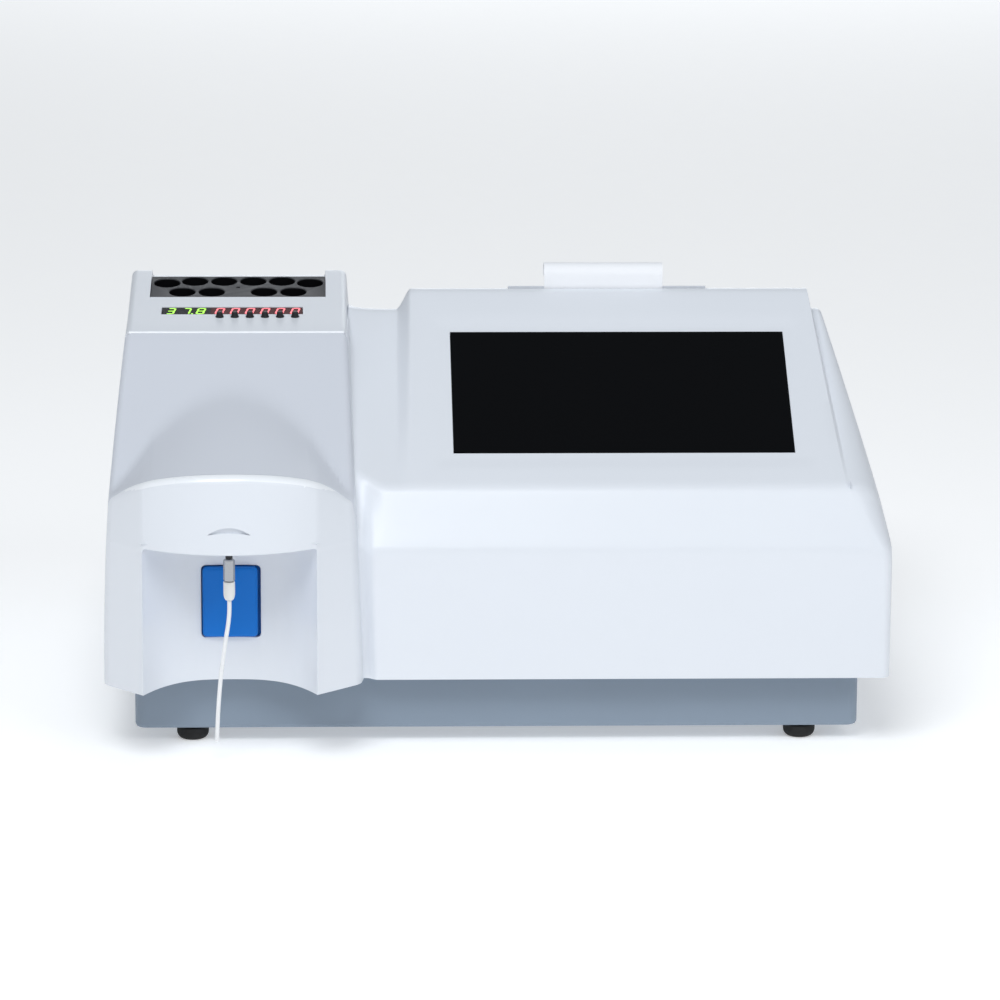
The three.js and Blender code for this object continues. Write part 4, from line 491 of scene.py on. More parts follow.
@dataclass(frozen=True)
class LensFinish(Finish):
    """Dark lens over the digits, black at the temperature digits and deep red at the timers."""

    split: float = -131.3
    red: tuple[float, float, float] = (0.075, 0.006, 0.008)

    def paint(self, tree: Tree, shader: Node, place: Socket) -> None:
        """Compares the place across with the split, and picks one of the two colours.

        Args:
            tree: the material's node tree.
            shader: the node that is driven.
            place: the coordinates to read.
        """
        apart = tree.nodes.new("ShaderNodeSeparateXYZ")
        tree.links.new(place, apart.inputs["Vector"])
        past = tree.nodes.new("ShaderNodeMath")
        past.operation = "GREATER_THAN"
        past.inputs[1].default_value = self.split * MM
        tree.links.new(apart.outputs["X"], past.inputs[0])
        shades = tree.nodes.new("ShaderNodeMix")
        shades.data_type = "RGBA"
        shades.inputs["A"].default_value = (*self.colour, 1)
        shades.inputs["B"].default_value = (*self.red, 1)
        tree.links.new(past.outputs["Value"], shades.inputs["Factor"])
        tree.links.new(shades.outputs["Result"], shader.inputs["Base Color"])


@dataclass(frozen=True)
class GlowFinish(Finish):
    """Lit segments, whose light is strongest in their own colour."""

    strength: float = 1.6

    def build(self) -> bpy.types.Material:
        """Adds an even glow to the plain surface.

        Returns:
            The material.
        """
        material = super().build()
        shader = material.node_tree.nodes["Principled BSDF"]
        shader.inputs["Emission Color"].default_value = (*self.colour, 1)
        shader.inputs["Emission Strength"].default_value = self.strength
        return material


@dataclass(frozen=True)
class BrushedFinish(Finish):
    """Metal with fine lines along one direction, made by stretching the noise."""

    stretch: tuple[float, float, float] = (1.0, 30.0, 30.0)

    def roughen(self, tree: Tree, shader: Node, place: Socket) -> None:
        """Squeezes the coordinates across the lines before the noise reads them.

        Args:
            tree: the material's node tree.
            shader: the node that is driven.
            place: the coordinates to read.
        """
        squeeze = tree.nodes.new("ShaderNodeMapping")
        squeeze.inputs["Scale"].default_value = self.stretch
        tree.links.new(place, squeeze.inputs["Vector"])
        super().roughen(tree, shader, squeeze.outputs["Vector"])


def noise(tree: Tree, place: Socket, scale: float, detail: float = 3.0) -> Socket:
    """Adds a noise texture.

    Args:
        tree: the material's node tree.
        place: the coordinates to read.
        scale: how fine the noise is.
        detail: how many finer layers it has.

    Returns:
        The noise's value, from 0 to 1.
    """
    texture = tree.nodes.new("ShaderNodeTexNoise")
    texture.inputs["Scale"].default_value = scale
    texture.inputs["Detail"].default_value = detail
    tree.links.new(place, texture.inputs["Vector"])
    return texture.outputs["Fac"]


COVER_WHITE = Finish("cover_white", (0.8, 0.825, 0.87), 0.36, tint=0.012, grain_depth=0.000012, coat=0.12)
# The access lid's finish is a darker copy of the cover's white: painted shade for the darker tower slope.
LID_SHADE_WHITE = Finish("lid_painted_shade", (0.70, 0.725, 0.785), 0.4, tint=0.012, grain_depth=0.000012, coat=0.05)
# Brighter white for the arched rim's rounding: a painted highlight.
RIM_HIGHLIGHT_WHITE = Finish("rim_painted_highlight", (0.93, 0.95, 0.98), 0.28, tint=0.01, grain_depth=0.000008, coat=0.3)
TRAY_GREY = Finish("tray_grey", (0.265, 0.325, 0.4), 0.5, grain_depth=0.00003, tint=0.03)
BLACK_PLASTIC = Finish("black_plastic", (0.012, 0.013, 0.015), 0.42)
SCREEN_BLACK = Finish("screen_black", (0.003, 0.0033, 0.004), 0.2, grain_depth=0.0, tint=0.1, shine=0.07)
BLOCK_GREY = Finish("block_grey", (0.045, 0.045, 0.05), 0.45, tint=0.08, shine=0.3)
# Near-black finish inside the wells: painted shade for the deep bores.
WELL_SHADE_BLACK = Finish("well_painted_shade", (0.004, 0.004, 0.005), 0.6, tint=0.2, shine=0.1)
BUTTON_BLUE = Finish("button_blue", (0.004, 0.165, 0.6), 0.4, shine=0.25)
STEEL = BrushedFinish("steel", (0.42, 0.43, 0.45), 0.24, 1.0, grain_depth=0.000004)
SHEET_METAL = BrushedFinish("sheet_metal", (0.62, 0.63, 0.65), 0.38, 1.0, grain_depth=0.000006)
FOOT_RUBBER = Finish("foot_rubber", (0.012, 0.012, 0.012), 0.75, grain_depth=0.00006)
BOARD_GREEN = Finish("board_green", (0.018, 0.11, 0.045), 0.4, tint=0.2)
PAPER = Finish("paper", (0.95, 0.955, 0.98), 0.7, grain=2500, grain_depth=0.00001, tint=0.02)
NATURAL = Finish("natural_plastic", (0.84, 0.83, 0.8), 0.35)
TUBE_WHITE = Finish("tube_white", (0.88, 0.88, 0.88), 0.28, coat=0.3)
CLEAR = Finish("clear_glass", (0.85, 0.9, 0.93), 0.06, grain_depth=0.0)
LENS = LensFinish("timer_lens", (0.004, 0.005, 0.006), 0.2, grain_depth=0.0, shine=0.1)
ROD_STEEL = BrushedFinish("rod_steel", (0.9, 0.91, 0.94), 0.3, 1.0, grain_depth=0.000002)
# Near-white finish for the seam's hinge rod: a painted highlight line along the seam.
ROD_HIGHLIGHT_WHITE = Finish("rod_painted_highlight", (0.94, 0.96, 1.0), 0.3, coat=0.5, grain_depth=0.000004, tint=0.01)
GREEN_GLOW = GlowFinish("green_digit", (0.36, 0.78, 0.07), 0.3, strength=0.95)
RED_GLOW = GlowFinish("red_digit", (0.9, 0.19, 0.22), 0.3, strength=0.9)


def dress(made: Object, finish: Finish) -> Object:
    """Gives a piece its finish.

    Args:
        made: the piece.
        finish: its surface.

    Returns:
        The same piece.
    """
    made.data.materials.clear()
    made.data.materials.append(finish.build())
    return made


def second_finish(made: Object, finish: Finish, chosen: Array) -> None:
    """Gives the chosen faces of a dressed piece another finish."""
    made.data.materials.append(finish.build())
    made.data.polygons.foreach_set("material_index", chosen.astype(np.int32))


def seat(made: Object, body: str, *nodes: str) -> Object:
    """Rides a piece on a body in place of the named nodes, and reports it.

    Args:
        made: the piece.
        body: the body that carries it.
        nodes: the frame's nodes that it stands for; none where it is extra.

    Returns:
        The same piece.
    """
    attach(made, body)
    if nodes:
        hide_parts(*nodes)
    log.info("%s rides on %s, %d faces", made.name, body, len(made.data.polygons))
    return made


# Housing


@dataclass(frozen=True)
class Body:
    """Sizes shared by the whole cover."""

    right: float = 177.5
    bottom: float = 33.0
    wall: float = 2.5
    edge_round: float = 3.0
    back: float = 264.0
    back_round: float = 6.0
    roof_fall: float = 0.2876

    @property
    def eaves(self) -> float:
        """Depth where the roof turns down into the back."""
        return self.back - 2 * self.back_round


@dataclass(frozen=True)
class Tower:
    """Sizes of the sampling tower."""

    left: float = -177.5
    recess_left: float = -159.3
    recess_right: float = -81.7
    right: float = -61.6
    wall_front: float = -6.0
    corner_front: float = -24.0
    recess_floor: float = 2.0
    lip_front: float = -36.0
    lip_height: float = 100.0
    lip_edge: float = 1.5
    lip_rise: float = 3.0
    lip_blend: float = 5.0
    hood_half: float = 58.5
    hood_foot: float = 117.5
    hood_rise: float = 16.5
    hood_lean: float = 8.0
    hood_fall: float = 4.0
    hood_pitch: float = 0.2118
    rim_round: float = 3.5
    slope_foot: float = -2.0
    slope_pitch: float = 0.5773
    crease_blend: float = 3.0
    seam: float = 95.0
    seam_half: float = 0.9
    panel_pitch: float = 0.1423
    panel_left: float = -160.4
    panel_right: float = -77.6
    block: float = 141.7
    block_back: float = 171.3
    ear: float = 180.3
    back_pitch: float = 0.5663
    ear_notch: float = 4.5
    notch_end: float = 188.0
    lean_left: float = 7.4
    lean_right: float = 6.0

    @property
    def seam_height(self) -> float:
        """Height of the seam, up the slope from the hood's foot."""
        return self.slope_height(self.seam)

    @property
    def ear_height(self) -> float:
        """Height of the tower's highest line."""
        return self.seam_height + (self.ear - self.seam) * self.panel_pitch

    @property
    def centre(self) -> float:
        """Middle of the recess across."""
        return (self.recess_left + self.recess_right) / 2

    @property
    def recess_half(self) -> float:
        """Half the recess's width."""
        return (self.recess_right - self.recess_left) / 2

    @property
    def tilt(self) -> float:
        """Angle of the top panel."""
        return math.atan(self.panel_pitch)

    def slope_height(self, depth: Array) -> Array:
        """Height of the straight slope between the hood and the seam."""
        return self.hood_foot + (depth - self.slope_foot) * self.slope_pitch


@dataclass(frozen=True)
class Main:
    """Sizes of the display side."""

    front: float = 0.0
    groove: float = 3.0
    groove_end: float = -56.0
    shoulder_foot: float = 93.0
    foot_edge: float = 5.0
    shoulder_top: float = 118.5
    shoulder: float = 15.0
    shoulder_back: float = 6.0
    shoulder_start: float = -50.0
    ridge: float = 137.0
    deck_ridge: float = 175.8
    wedge_ridge: float = 185.5
    ridge_round: float = 3.5
    cove_height: float = 5.0
    cove_share: float = 0.25
    foot_left: float = -46.5
    wedge_left: float = -39.8
    wedge_right: float = 156.9
    foot_right: float = 159.1
    lean_left: float = 2.6
    lean_right: float = 7.6
    foot_lean_right: float = 8.6
    right_lean: float = 21.6
    lean_power: float = 1.12
    shoulder_round: float = 13.0
    front_round: float = 4.0
    ridge_edge_round: float = 2.0
    round_power: float = 0.8

    @property
    def deck_pitch(self) -> float:
        """Slope of the low deck."""
        return (self.deck_ridge - self.shoulder_top) / (self.ridge - self.shoulder)

    @property
    def wedge_pitch(self) -> float:
        """Slope of the raised display field."""
        return (self.wedge_ridge - self.shoulder_top) / (self.ridge - self.shoulder)

    @property
    def tilt(self) -> float:
        """Angle of the display slope."""
        return math.atan(self.wedge_pitch)


@dataclass(frozen=True)
class Printer:
    """Sizes of the printer's lid and paper."""

    left: float = 8.4
    right: float = 101.7
    front: float = 139.9
    slot: float = 1.9
    back: float = 205.0
    paper_left: float = 25.4
    paper_width: float = 56.0


@dataclass(frozen=True)
class Screen:
    """Sizes of the touch glass, with low and high along the display slope."""

    left: float = -19.5
    right: float = 135.5
    low: float = 23.8
    high: float = 107.48
    frame: float = 7.5
    frame_edge: float = 5.0
    frame_depth: float = 0.55


@dataclass(frozen=True)
class Timers:
    """Sizes of the row of timer buttons on the tower's top panel."""

    first: float = -127.0
    pitch: float = 7.03
    depth: float = 114.8
    count: int = 6
    hole: float = 2.05
    hole_top: float = 4.0

    @property
    def places(self) -> list[float]:
        """Place of each button across."""
        return [self.first + k * self.pitch for k in range(self.count)]


BODY, TOWER, MAIN = Body(), Tower(), Main()
PRINTER, SCREEN, TIMERS = Printer(), Screen(), Timers()


def panel_run(depth: float) -> float:
    """Length along the tower's top panel from the seam to a depth."""
    return (depth - TOWER.seam) / math.cos(TOWER.tilt)


def tilted(points: Array, angle: float, depth: float, height: float) -> Array:
    """Turns points from a sloping face's own space into the build space.

    On the face y runs up the slope and z stands square on it, so both turn about X by the angle.

    Args:
        points: n by 3 places on the face.
        angle: the slope, in radians.
        depth: depth of the face's own origin.
        height: height of that origin.

    Returns:
        The places in the build space.
    """
    cos, sin = math.cos(angle), math.sin(angle)
    x, y, z = np.asarray(points, float).T
    return np.stack([x, depth + y * cos - z * sin, height + y * sin + z * cos], 1)


def on_panel(points: Array) -> Array:
    """Places points given on the tower's top panel, with y from the seam."""
    return tilted(points, TOWER.tilt, TOWER.seam, TOWER.seam_height)


def on_slope(points: Array) -> Array:
    """Places points given on the display slope, with y from the shoulder."""
    return tilted(points, MAIN.tilt, MAIN.shoulder, MAIN.shoulder_top)


@dataclass
class HousingSkin:
    """The moulded skin as a grid: columns across the width, each a profile from front to back."""

    slope_shares: tuple[float, ...] = (0.06, 0.162, 0.28, 0.4, 0.52, 0.65, 0.79, 0.9)
    recess_low: tuple[float, ...] = (0, 0.07, 0.14, 0.25, 0.37, 0.5, 0.63, 0.75, 0.86, 0.93, 1)
    recess_high: tuple[float, ...] = (0, 0.01, 0.1, 0.22, 0.36, 0.5, 0.64, 0.78, 0.9, 0.99, 1)
    roof_parts: int = 6
    roof_share: float = 0.4
    fall_share: float = 0.6
    parts: int = 4
    lip_soft: float = 1.6
    foot_soft: float = 7.0
    root_soft: float = 1.0
    soft_limit: float = 0.45
    face_points: int = 4
    soft_points: int = 5
    rim_points: int = 8
    back_points: int = 5
    wall_steps: int = 14
    edge_steps: int = 9
    cheek_steps: int = 8
    valley_steps: int = 12
    valley_share: float = 0.75
    field_steps: int = 40
    flank_steps: int = 9
    wing_steps: int = 4
    side_steps: int = 13
    columns: list[Array] = field(default_factory=list)

    def panel_share(self, z: Array) -> Array:
        """How far the recess's width has opened to the panel's."""
        return ease(ramp(TOWER.hood_foot, TOWER.seam_height, z))

    def tower_share(self, z: Array) -> Array:
        """Height as a share of the way up to the seam."""
        return np.minimum(1.0, (z - BODY.bottom) / (TOWER.seam_height - BODY.bottom))

    def wedge_share(self, z: Array) -> Array:
        """Height as a share of the display field's climb."""
        return np.clip((z - MAIN.shoulder_top) / (MAIN.wedge_ridge - MAIN.shoulder_top), 0.0, 1.0)

    def panel_left(self, z: Array) -> Array:
        """Left edge of the recess, opening to the panel's."""
        return mix(TOWER.recess_left, TOWER.panel_left, self.panel_share(z))

    def panel_right(self, z: Array) -> Array:
        """Right edge of the recess, opening to the panel's."""
        return mix(TOWER.recess_right, TOWER.panel_right, self.panel_share(z))

    def left_wall(self, z: Array) -> Array:
        """The tower's outer wall, which leans in by the square of the height."""
        return TOWER.left + TOWER.lean_left * np.maximum(0.0, self.tower_share(z)) ** 2

    def inner_wall(self, z: Array) -> Array:
        """The tower's wall beside the valley, leaning in straight."""
        return TOWER.right - TOWER.lean_right * self.tower_share(z)

    def right_wall(self, z: Array) -> Array:
        """The right side: upright to the shoulder's foot, then leaning in by a power of the climb."""
        climb = np.maximum(0.0, z - MAIN.shoulder_foot) / (MAIN.deck_ridge - MAIN.shoulder_foot)
        return BODY.right - MAIN.right_lean * climb**MAIN.lean_power

    def wedge_left(self, z: Array) -> Array:
        """Left edge of the display field."""
        return MAIN.wedge_left + MAIN.lean_left * self.wedge_share(z)

    def wedge_right(self, z: Array) -> Array:
        """Right edge of the display field."""
        return MAIN.wedge_right - MAIN.lean_right * self.wedge_share(z)

    def foot_left(self, z: Array) -> Array:
        """Foot of the flared wall beside the valley."""
        return MAIN.foot_left + MAIN.lean_left * self.wedge_share(z)

    def foot_right(self, z: Array) -> Array:
        """Foot of the display field's right flank."""
        return MAIN.foot_right - MAIN.foot_lean_right * self.wedge_share(z)

    def cheek_front(self, x: float) -> float:
        """Depth of the slanted cheeks beside the recess.

        Args:
            x: place across.

        Returns:
            The depth there.
        """
        past_left = ramp(TOWER.recess_left, TOWER.left, x)
        past_right = ramp(TOWER.recess_right, TOWER.right, x)
        return float(mix(TOWER.corner_front, TOWER.wall_front, max(past_left, past_right)))

    def low_front(self, x: float) -> float:
        """Depth of the hollow recess: one less the cube of the share across."""
        u = float(np.clip(abs(x - TOWER.centre) / TOWER.recess_half, 0, 1))
        return self.cheek_front(x) + (TOWER.recess_floor - TOWER.corner_front) * (1 - u**3)

    def up_front(self, x: float) -> float:
        """Depth of the bulged hood above the lip: a parabola across."""
        across = bump(np.array((x - TOWER.centre) / TOWER.recess_half))
        return self.cheek_front(x) + (TOWER.lip_front - TOWER.corner_front) * float(across)

    def hood_crown(self, x: float) -> float:
        """Share of the hood's rise at a place across."""
        return float(bump(np.array((x - TOWER.centre) / TOWER.hood_half)))

    def rim_depth(self, x: float) -> float:
        """Depth of the arch's rim."""
        return self.up_front(x) + mix(TOWER.hood_fall, TOWER.hood_lean, self.hood_crown(x))

    def tower_height(self, x: float, y: Array, notch: float) -> Array:
        """Height of the tower's top: hood dome over the slope, then the panel, then the fall behind.

        Args:
            x: place across.
            y: depths.
            notch: how much of the step behind the ears is taken, from 0 to 1.

        Returns:
            The height at each depth.
        """
        reach = TOWER.hood_rise + (y - TOWER.lip_front - TOWER.hood_lean) * TOWER.hood_pitch
        hood = TOWER.hood_foot + reach * self.hood_crown(x)
        slope = TOWER.slope_height(y)
        panel = TOWER.seam_height + (y - TOWER.seam) * TOWER.panel_pitch
        back = TOWER.ear_height - (y - TOWER.ear) * TOWER.back_pitch
        lid = smooth_max(slope, hood, TOWER.crease_blend)
        front = smooth_min(lid, panel, TOWER.crease_blend / 2)
        past = np.where(y > TOWER.block_back, 1 - ramp(TOWER.ear, TOWER.notch_end, y), 0)
        return smooth_min(front, back, TOWER.crease_blend / 2) - notch * TOWER.ear_notch * past

    def field_height(self, y: Array, pitch: float, ridge: float) -> Array:
        """Height of a slope that turns over its ridge into the roof.

        Args:
            y: depths.
            pitch: the slope.
            ridge: height of its top line.

        Returns:
            The height at each depth.
        """
        slope = MAIN.shoulder_top + (y - MAIN.shoulder) * pitch
        roof = ridge - (y - MAIN.ridge) * BODY.roof_fall
        return smooth_min(slope, roof, MAIN.ridge_round)

    def main_height(self, y: Array, wedge: float, cove: float) -> Array:
        """Height of the display side: the deck, raised by the wedge's share, with a cove at the tower.

        Args:
            y: depths.
            wedge: share of the display field's rise, from 0 to 1.
            cove: share of the cove, from 0 to 1.

        Returns:
            The height at each depth.
        """
        deck = self.field_height(y, MAIN.deck_pitch, MAIN.deck_ridge)
        raised = self.field_height(y, MAIN.wedge_pitch, MAIN.wedge_ridge)
        beside = np.maximum(0.0, self.tower_height(TOWER.right, y, 0.0) - deck)
        hollow = cove * np.minimum(MAIN.cove_height, beside * MAIN.cove_share)
        return deck + wedge * (raised - deck) + hollow

    def top_rows(self, main: bool) -> list[float]:
        """Depths that every column's top passes through, for the tower or for the display side.

        Args:
            main: whether the column is on the display side.

        Returns:
            Depths from front to back.
        """
        if main:
            shares = np.arange(1, self.roof_parts) / self.roof_parts
            back = [mix(PRINTER.front, PRINTER.back, share) for share in shares]
            rows = [MAIN.ridge - MAIN.ridge_round, MAIN.ridge, PRINTER.front, *back, PRINTER.back]
            rows.append(mix(PRINTER.back, BODY.eaves, self.roof_share))
        else:
            half, blend = TOWER.seam_half, TOWER.crease_blend / 2
            rows = [TOWER.seam - half, TOWER.seam + half, mix(TOWER.seam, TOWER.block, 0.5)]
            rows += [TOWER.block, TOWER.block_back, TOWER.block_back + GAP]
            rows += [TOWER.ear - blend, TOWER.ear + blend]
            rows += [TOWER.notch_end, mix(TOWER.notch_end, BODY.eaves, self.fall_share)]
        return [*rows, BODY.eaves]

    def profile(
        self, front: Sequence, edge: Sequence, soft: tuple[float, float], height: Callable, main: bool
    ) -> Array:
        """One column's path from the front bottom edge over the top to the back bottom edge.

        Args:
            front: the bottom, root and lip points as depth and height.
            edge: the corner between the front and the top, before it is rounded.
            soft: rounding at the root and at the lip.
            height: gives the top's height for an array of depths.
            main: whether the column is on the display side.

        Returns:
            Rows by depth and height.
        """
        start, root, lip, edge = (np.array(p, float) for p in (*front, edge))
        before = lip + (edge - lip) * (1 - TOWER.rim_round / np.linalg.norm(edge - lip))
        after_y = edge[0] + TOWER.rim_round
        after = np.array([after_y, float(height(np.array(after_y)))])
        root_in, root_out = self.around(start, root, lip, soft[0])
        lip_in, lip_out = self.around(root, lip, before, soft[1])
        rows = self.top_rows(main)
        knots = [after_y, *(mix(after_y, rows[0], s) for s in self.slope_shares), *rows]
        ys = refine(knots, self.parts)
        top = np.stack([ys, height(ys)], 1)
        eaves = top[-1]
        below = np.array([BODY.back, eaves[1] - 2 * BODY.back_round])
        over = np.array([BODY.back, eaves[1] - 2 * BODY.back_round * BODY.roof_fall])
        ground = np.array([BODY.back, BODY.bottom])
        return np.vstack([
            start[None],
            line(start, root_in, self.face_points),
            curve(root_in, root, root_out, self.soft_points),
            curve(lip_in, lip, lip_out, self.soft_points),
            line(lip_out, before, self.back_points),
            curve(before, edge, after, self.rim_points),
            top[1:],
            curve(eaves, over, below, self.rim_points)[1:],
            line(below, ground, self.back_points),
            ground[None],
        ])

    def around(self, before: Array, corner: Array, after: Array, reach: float) -> tuple[Array, Array]:
        """Points one reach before and after a corner, where its rounding starts and ends.

        Args:
            before: the point before the corner.
            corner: the corner.
            after: the point after it.
            reach: how far the rounding should reach.

        Returns:
            Where the rounding starts and where it ends.
        """
        back, ahead = before - corner, after - corner
        back_length, ahead_length = np.linalg.norm(back), np.linalg.norm(ahead)
        reach = min(reach, back_length * self.soft_limit, ahead_length * self.soft_limit)
        return corner + back / back_length * reach, corner + ahead / ahead_length * reach

    def tower_profile(self, x: float, notch: float = 0.0) -> Array:
        """Profile of the tower at a place across.

        Args:
            x: place across.
            notch: share of the step behind the ears.

        Returns:
            Rows by depth and height.
        """
        low, up = self.low_front(x), self.up_front(x)
        opened = float(ease(np.clip((low - up) / TOWER.lip_blend, 0, 1)))
        root = TOWER.lip_height - TOWER.lip_edge + (TOWER.lip_edge + TOWER.lip_rise) * opened
        rim = self.rim_depth(x)
        edge = (rim, float(self.tower_height(x, np.array(rim), notch)))
        front = [(low, BODY.bottom), (low, root), (up, TOWER.lip_height)]
        soft = (self.lip_soft, self.lip_soft)
        return self.profile(front, edge, soft, lambda y: self.tower_height(x, y, notch), False)

    def main_profile(self, x: float, wedge: float, cove: float = 0.0) -> Array:
        """Profile of the display side at a place across.

        Args:
            x: place across.
            wedge: share of the display field's rise.
            cove: share of the cove.

        Returns:
            Rows by depth and height.
        """
        beside = 1 - float(ease(ramp(TOWER.right, MAIN.groove_end, x)))
        drawn = 1 - float(ease(ramp(TOWER.right, MAIN.shoulder_start, x)))
        front = MAIN.front + MAIN.groove * beside
        shoulder = MAIN.shoulder + MAIN.shoulder_back * drawn
        edge = (shoulder, float(self.main_height(np.array(shoulder), wedge, cove)))
        low = MAIN.shoulder_foot - MAIN.foot_edge
        rows = [(front, BODY.bottom), (front, low), (front, MAIN.shoulder_foot)]
        soft = (self.root_soft, self.foot_soft)
        return self.profile(rows, edge, soft, lambda y: self.main_height(y, wedge, cove), True)

    def inset(self, profile: Array, depth: Array | float) -> Array:
        """Moves a profile inwards, square to a chord as long as the move on each side.

        Args:
            profile: rows by depth and height.
            depth: how far each row moves.

        Returns:
            The moved rows.
        """
        step = np.linalg.norm(np.diff(profile, axis=0), axis=1)
        reach = np.concatenate([[0], np.cumsum(step)])
        depth = np.broadcast_to(depth, reach.shape)
        chord = np.maximum(depth, GAP)
        before, after = (
            np.stack([np.interp(at, reach, profile[:, k]) for k in (0, 1)], 1)
            for at in (reach - chord, reach + chord)
        )
        run = after - before
        unit = run / np.linalg.norm(run, axis=1, keepdims=True)
        flat = unit[:, 0].copy()
        flat[[0, -1]] = 0
        return np.stack([profile[:, 0] + depth * unit[:, 1], profile[:, 1] - depth * flat], 1)

    def grounded(self, profile: Array) -> Array:
        """The straight bottom edge, with points at the profile's own shares of its length.

        Args:
            profile: rows by depth and height.

        Returns:
            As many rows along the bottom edge.
        """
        step = np.linalg.norm(np.diff(profile, axis=0), axis=1)
        share = np.concatenate([[0], np.cumsum(step)]) / step.sum()
        depth = mix(profile[0, 0], profile[-1, 0], share)
        return np.stack([depth, np.full(len(depth), BODY.bottom)], 1)

    def add(self, profile: Array, place: Callable[[Array], Array]) -> None:
        """Adds a column whose place across follows from its heights."""
        self.columns.append(np.stack([place(profile[:, 1]), profile[:, 0], profile[:, 1]], 1))

    def wall_columns(self, edge: Array, place: Callable, shares: Array) -> None:
        """Adds a flat side wall between its bottom edge and a profile.

        Args:
            edge: the profile at the wall's upper edge.
            place: gives the wall's place across from heights.
            shares: how far up each column lies, from 0 to 1.
        """
        ground = self.grounded(edge)
        for share in shares:
            self.add(mix(ground, edge, share), place)

    def edge_columns(self, x: float, inwards: int, wall: Callable, angles: Array) -> None:
        """Adds the rounding along one of the tower's top edges, by a quarter circle.

        Args:
            x: place of the wall's foot across.
            inwards: 1 where the tower lies to the right of the wall, -1 where it lies to the left.
            wall: gives the wall's place from heights.
            angles: the turn of each column, from 0 at the wall to a quarter turn on the top.
        """
        for angle in angles:
            drop, aside = (BODY.edge_round * (1 - part(angle)) for part in (math.sin, math.cos))
            profile = self.inset(self.tower_profile(x + inwards * aside), drop)
            self.add(profile, lambda z: wall(z) + inwards * aside)

    def cheek_columns(self, ends: tuple[float, float], walls: tuple[Callable, Callable]) -> None:
        """Adds the columns between one of the tower's edges and its recess.

        Args:
            ends: places across where the cheek starts and ends.
            walls: give the same two places from heights.
        """
        for share in np.arange(1, self.cheek_steps) / self.cheek_steps:
            profile = self.tower_profile(mix(*ends, share))
            self.add(profile, lambda z: mix(walls[0](z), walls[1](z), share))

    def recess_columns(self) -> None:
        """Adds the recess with the hood and the sunk panel above it."""
        for low in refine(self.recess_low, self.parts + 1):
            high = float(np.interp(low, self.recess_low, self.recess_high))
            notch = float(ramp(0, self.recess_low[1], np.array(min(low, 1 - low))))
            x = mix(TOWER.recess_left, TOWER.recess_right, low)
            upper = mix(TOWER.panel_left, TOWER.panel_right, high)
            self.add(self.tower_profile(x, notch), lambda z: mix(x, upper, self.panel_share(z)))

    def tower_columns(self) -> None:
        """Adds the tower, from its left wall to the wall beside the valley."""
        e, turn = BODY.edge_round, np.linspace(0, np.pi / 2, self.edge_steps)
        shares = np.arange(self.wall_steps) / self.wall_steps
        self.wall_columns(self.inset(self.tower_profile(TOWER.left), e), self.left_wall, shares)
        self.edge_columns(TOWER.left, 1, self.left_wall, turn)
        ends = (TOWER.left + e, TOWER.recess_left)
        self.cheek_columns(ends, (lambda z: self.left_wall(z) + e, self.panel_left))
        self.recess_columns()
        ends = (TOWER.recess_right, TOWER.right - e)
        self.cheek_columns(ends, (self.panel_right, lambda z: self.inner_wall(z) - e))
        self.edge_columns(TOWER.right, -1, self.inner_wall, turn[::-1])

    def valley_place(self, share: float, z: Array) -> Array:
        """Place of a valley column, by its share of the way from the tower to the flared wall."""
        return mix(self.inner_wall(z) + BODY.wall / 3, self.foot_left(z), share * self.valley_share)

    def flare_place(self, share: float, z: Array) -> Array:
        """Place of a flared wall's column, by its share of the way to the display field."""
        return mix(self.foot_left(z), self.wedge_left(z), share)

    def valley_columns(self) -> None:
        """Adds the coved valley and the flared wall that climbs to the display field."""
        height = np.array(MAIN.shoulder_foot)
        for share in np.linspace(0, 1, self.valley_steps):
            profile = self.main_profile(float(self.valley_place(share, height)), 0.0, (1 - share) ** 2)
            self.add(profile, lambda z: self.valley_place(share, z))
        for share in np.linspace(0, 1, self.valley_steps):
            profile = self.main_profile(float(self.flare_place(share, height)), float(ease(share)))
            self.add(profile, lambda z: self.flare_place(share, z))

    def field_columns(self) -> None:
        """Adds the display field and its right flank."""
        field_profile = self.main_profile(0.0, 1.0)
        for share in np.arange(1, self.field_steps) / self.field_steps:
            self.add(field_profile, lambda z: mix(self.wedge_left(z), self.wedge_right(z), share))
        for share in np.linspace(0, 1, self.flank_steps):
            profile = self.main_profile(0.0, 1 - float(ease(share)))
            self.add(profile, lambda z: mix(self.wedge_right(z), self.foot_right(z), share))

    def right_columns(self) -> None:
        """Adds the wing, the wide rounding over the right side, and the side wall."""
        flank = self.main_profile(BODY.right, 0.0)
        climbed = ease(ramp(MAIN.shoulder_foot - MAIN.shoulder_round, MAIN.shoulder_top, flank[:, 1]))
        near = mix(MAIN.front_round, MAIN.shoulder_round, climbed)
        along = ramp(MAIN.shoulder, MAIN.ridge, flank[:, 0]) ** MAIN.round_power
        rounds = mix(near, MAIN.ridge_edge_round, along)
        for share in np.arange(1, self.wing_steps) / self.wing_steps:
            self.add(flank, lambda z: mix(self.foot_right(z), self.right_wall(z) - rounds, share))
        for angle in np.linspace(np.pi / 2, 0, self.side_steps):
            profile = self.inset(flank, rounds * (1 - math.sin(angle)))
            aside = rounds * (1 - math.cos(angle))
            self.add(profile, lambda z: self.right_wall(z) - aside)
        shares = np.arange(self.wall_steps - 1, -1, -1) / self.wall_steps
        self.wall_columns(self.inset(flank, rounds), self.right_wall, shares)

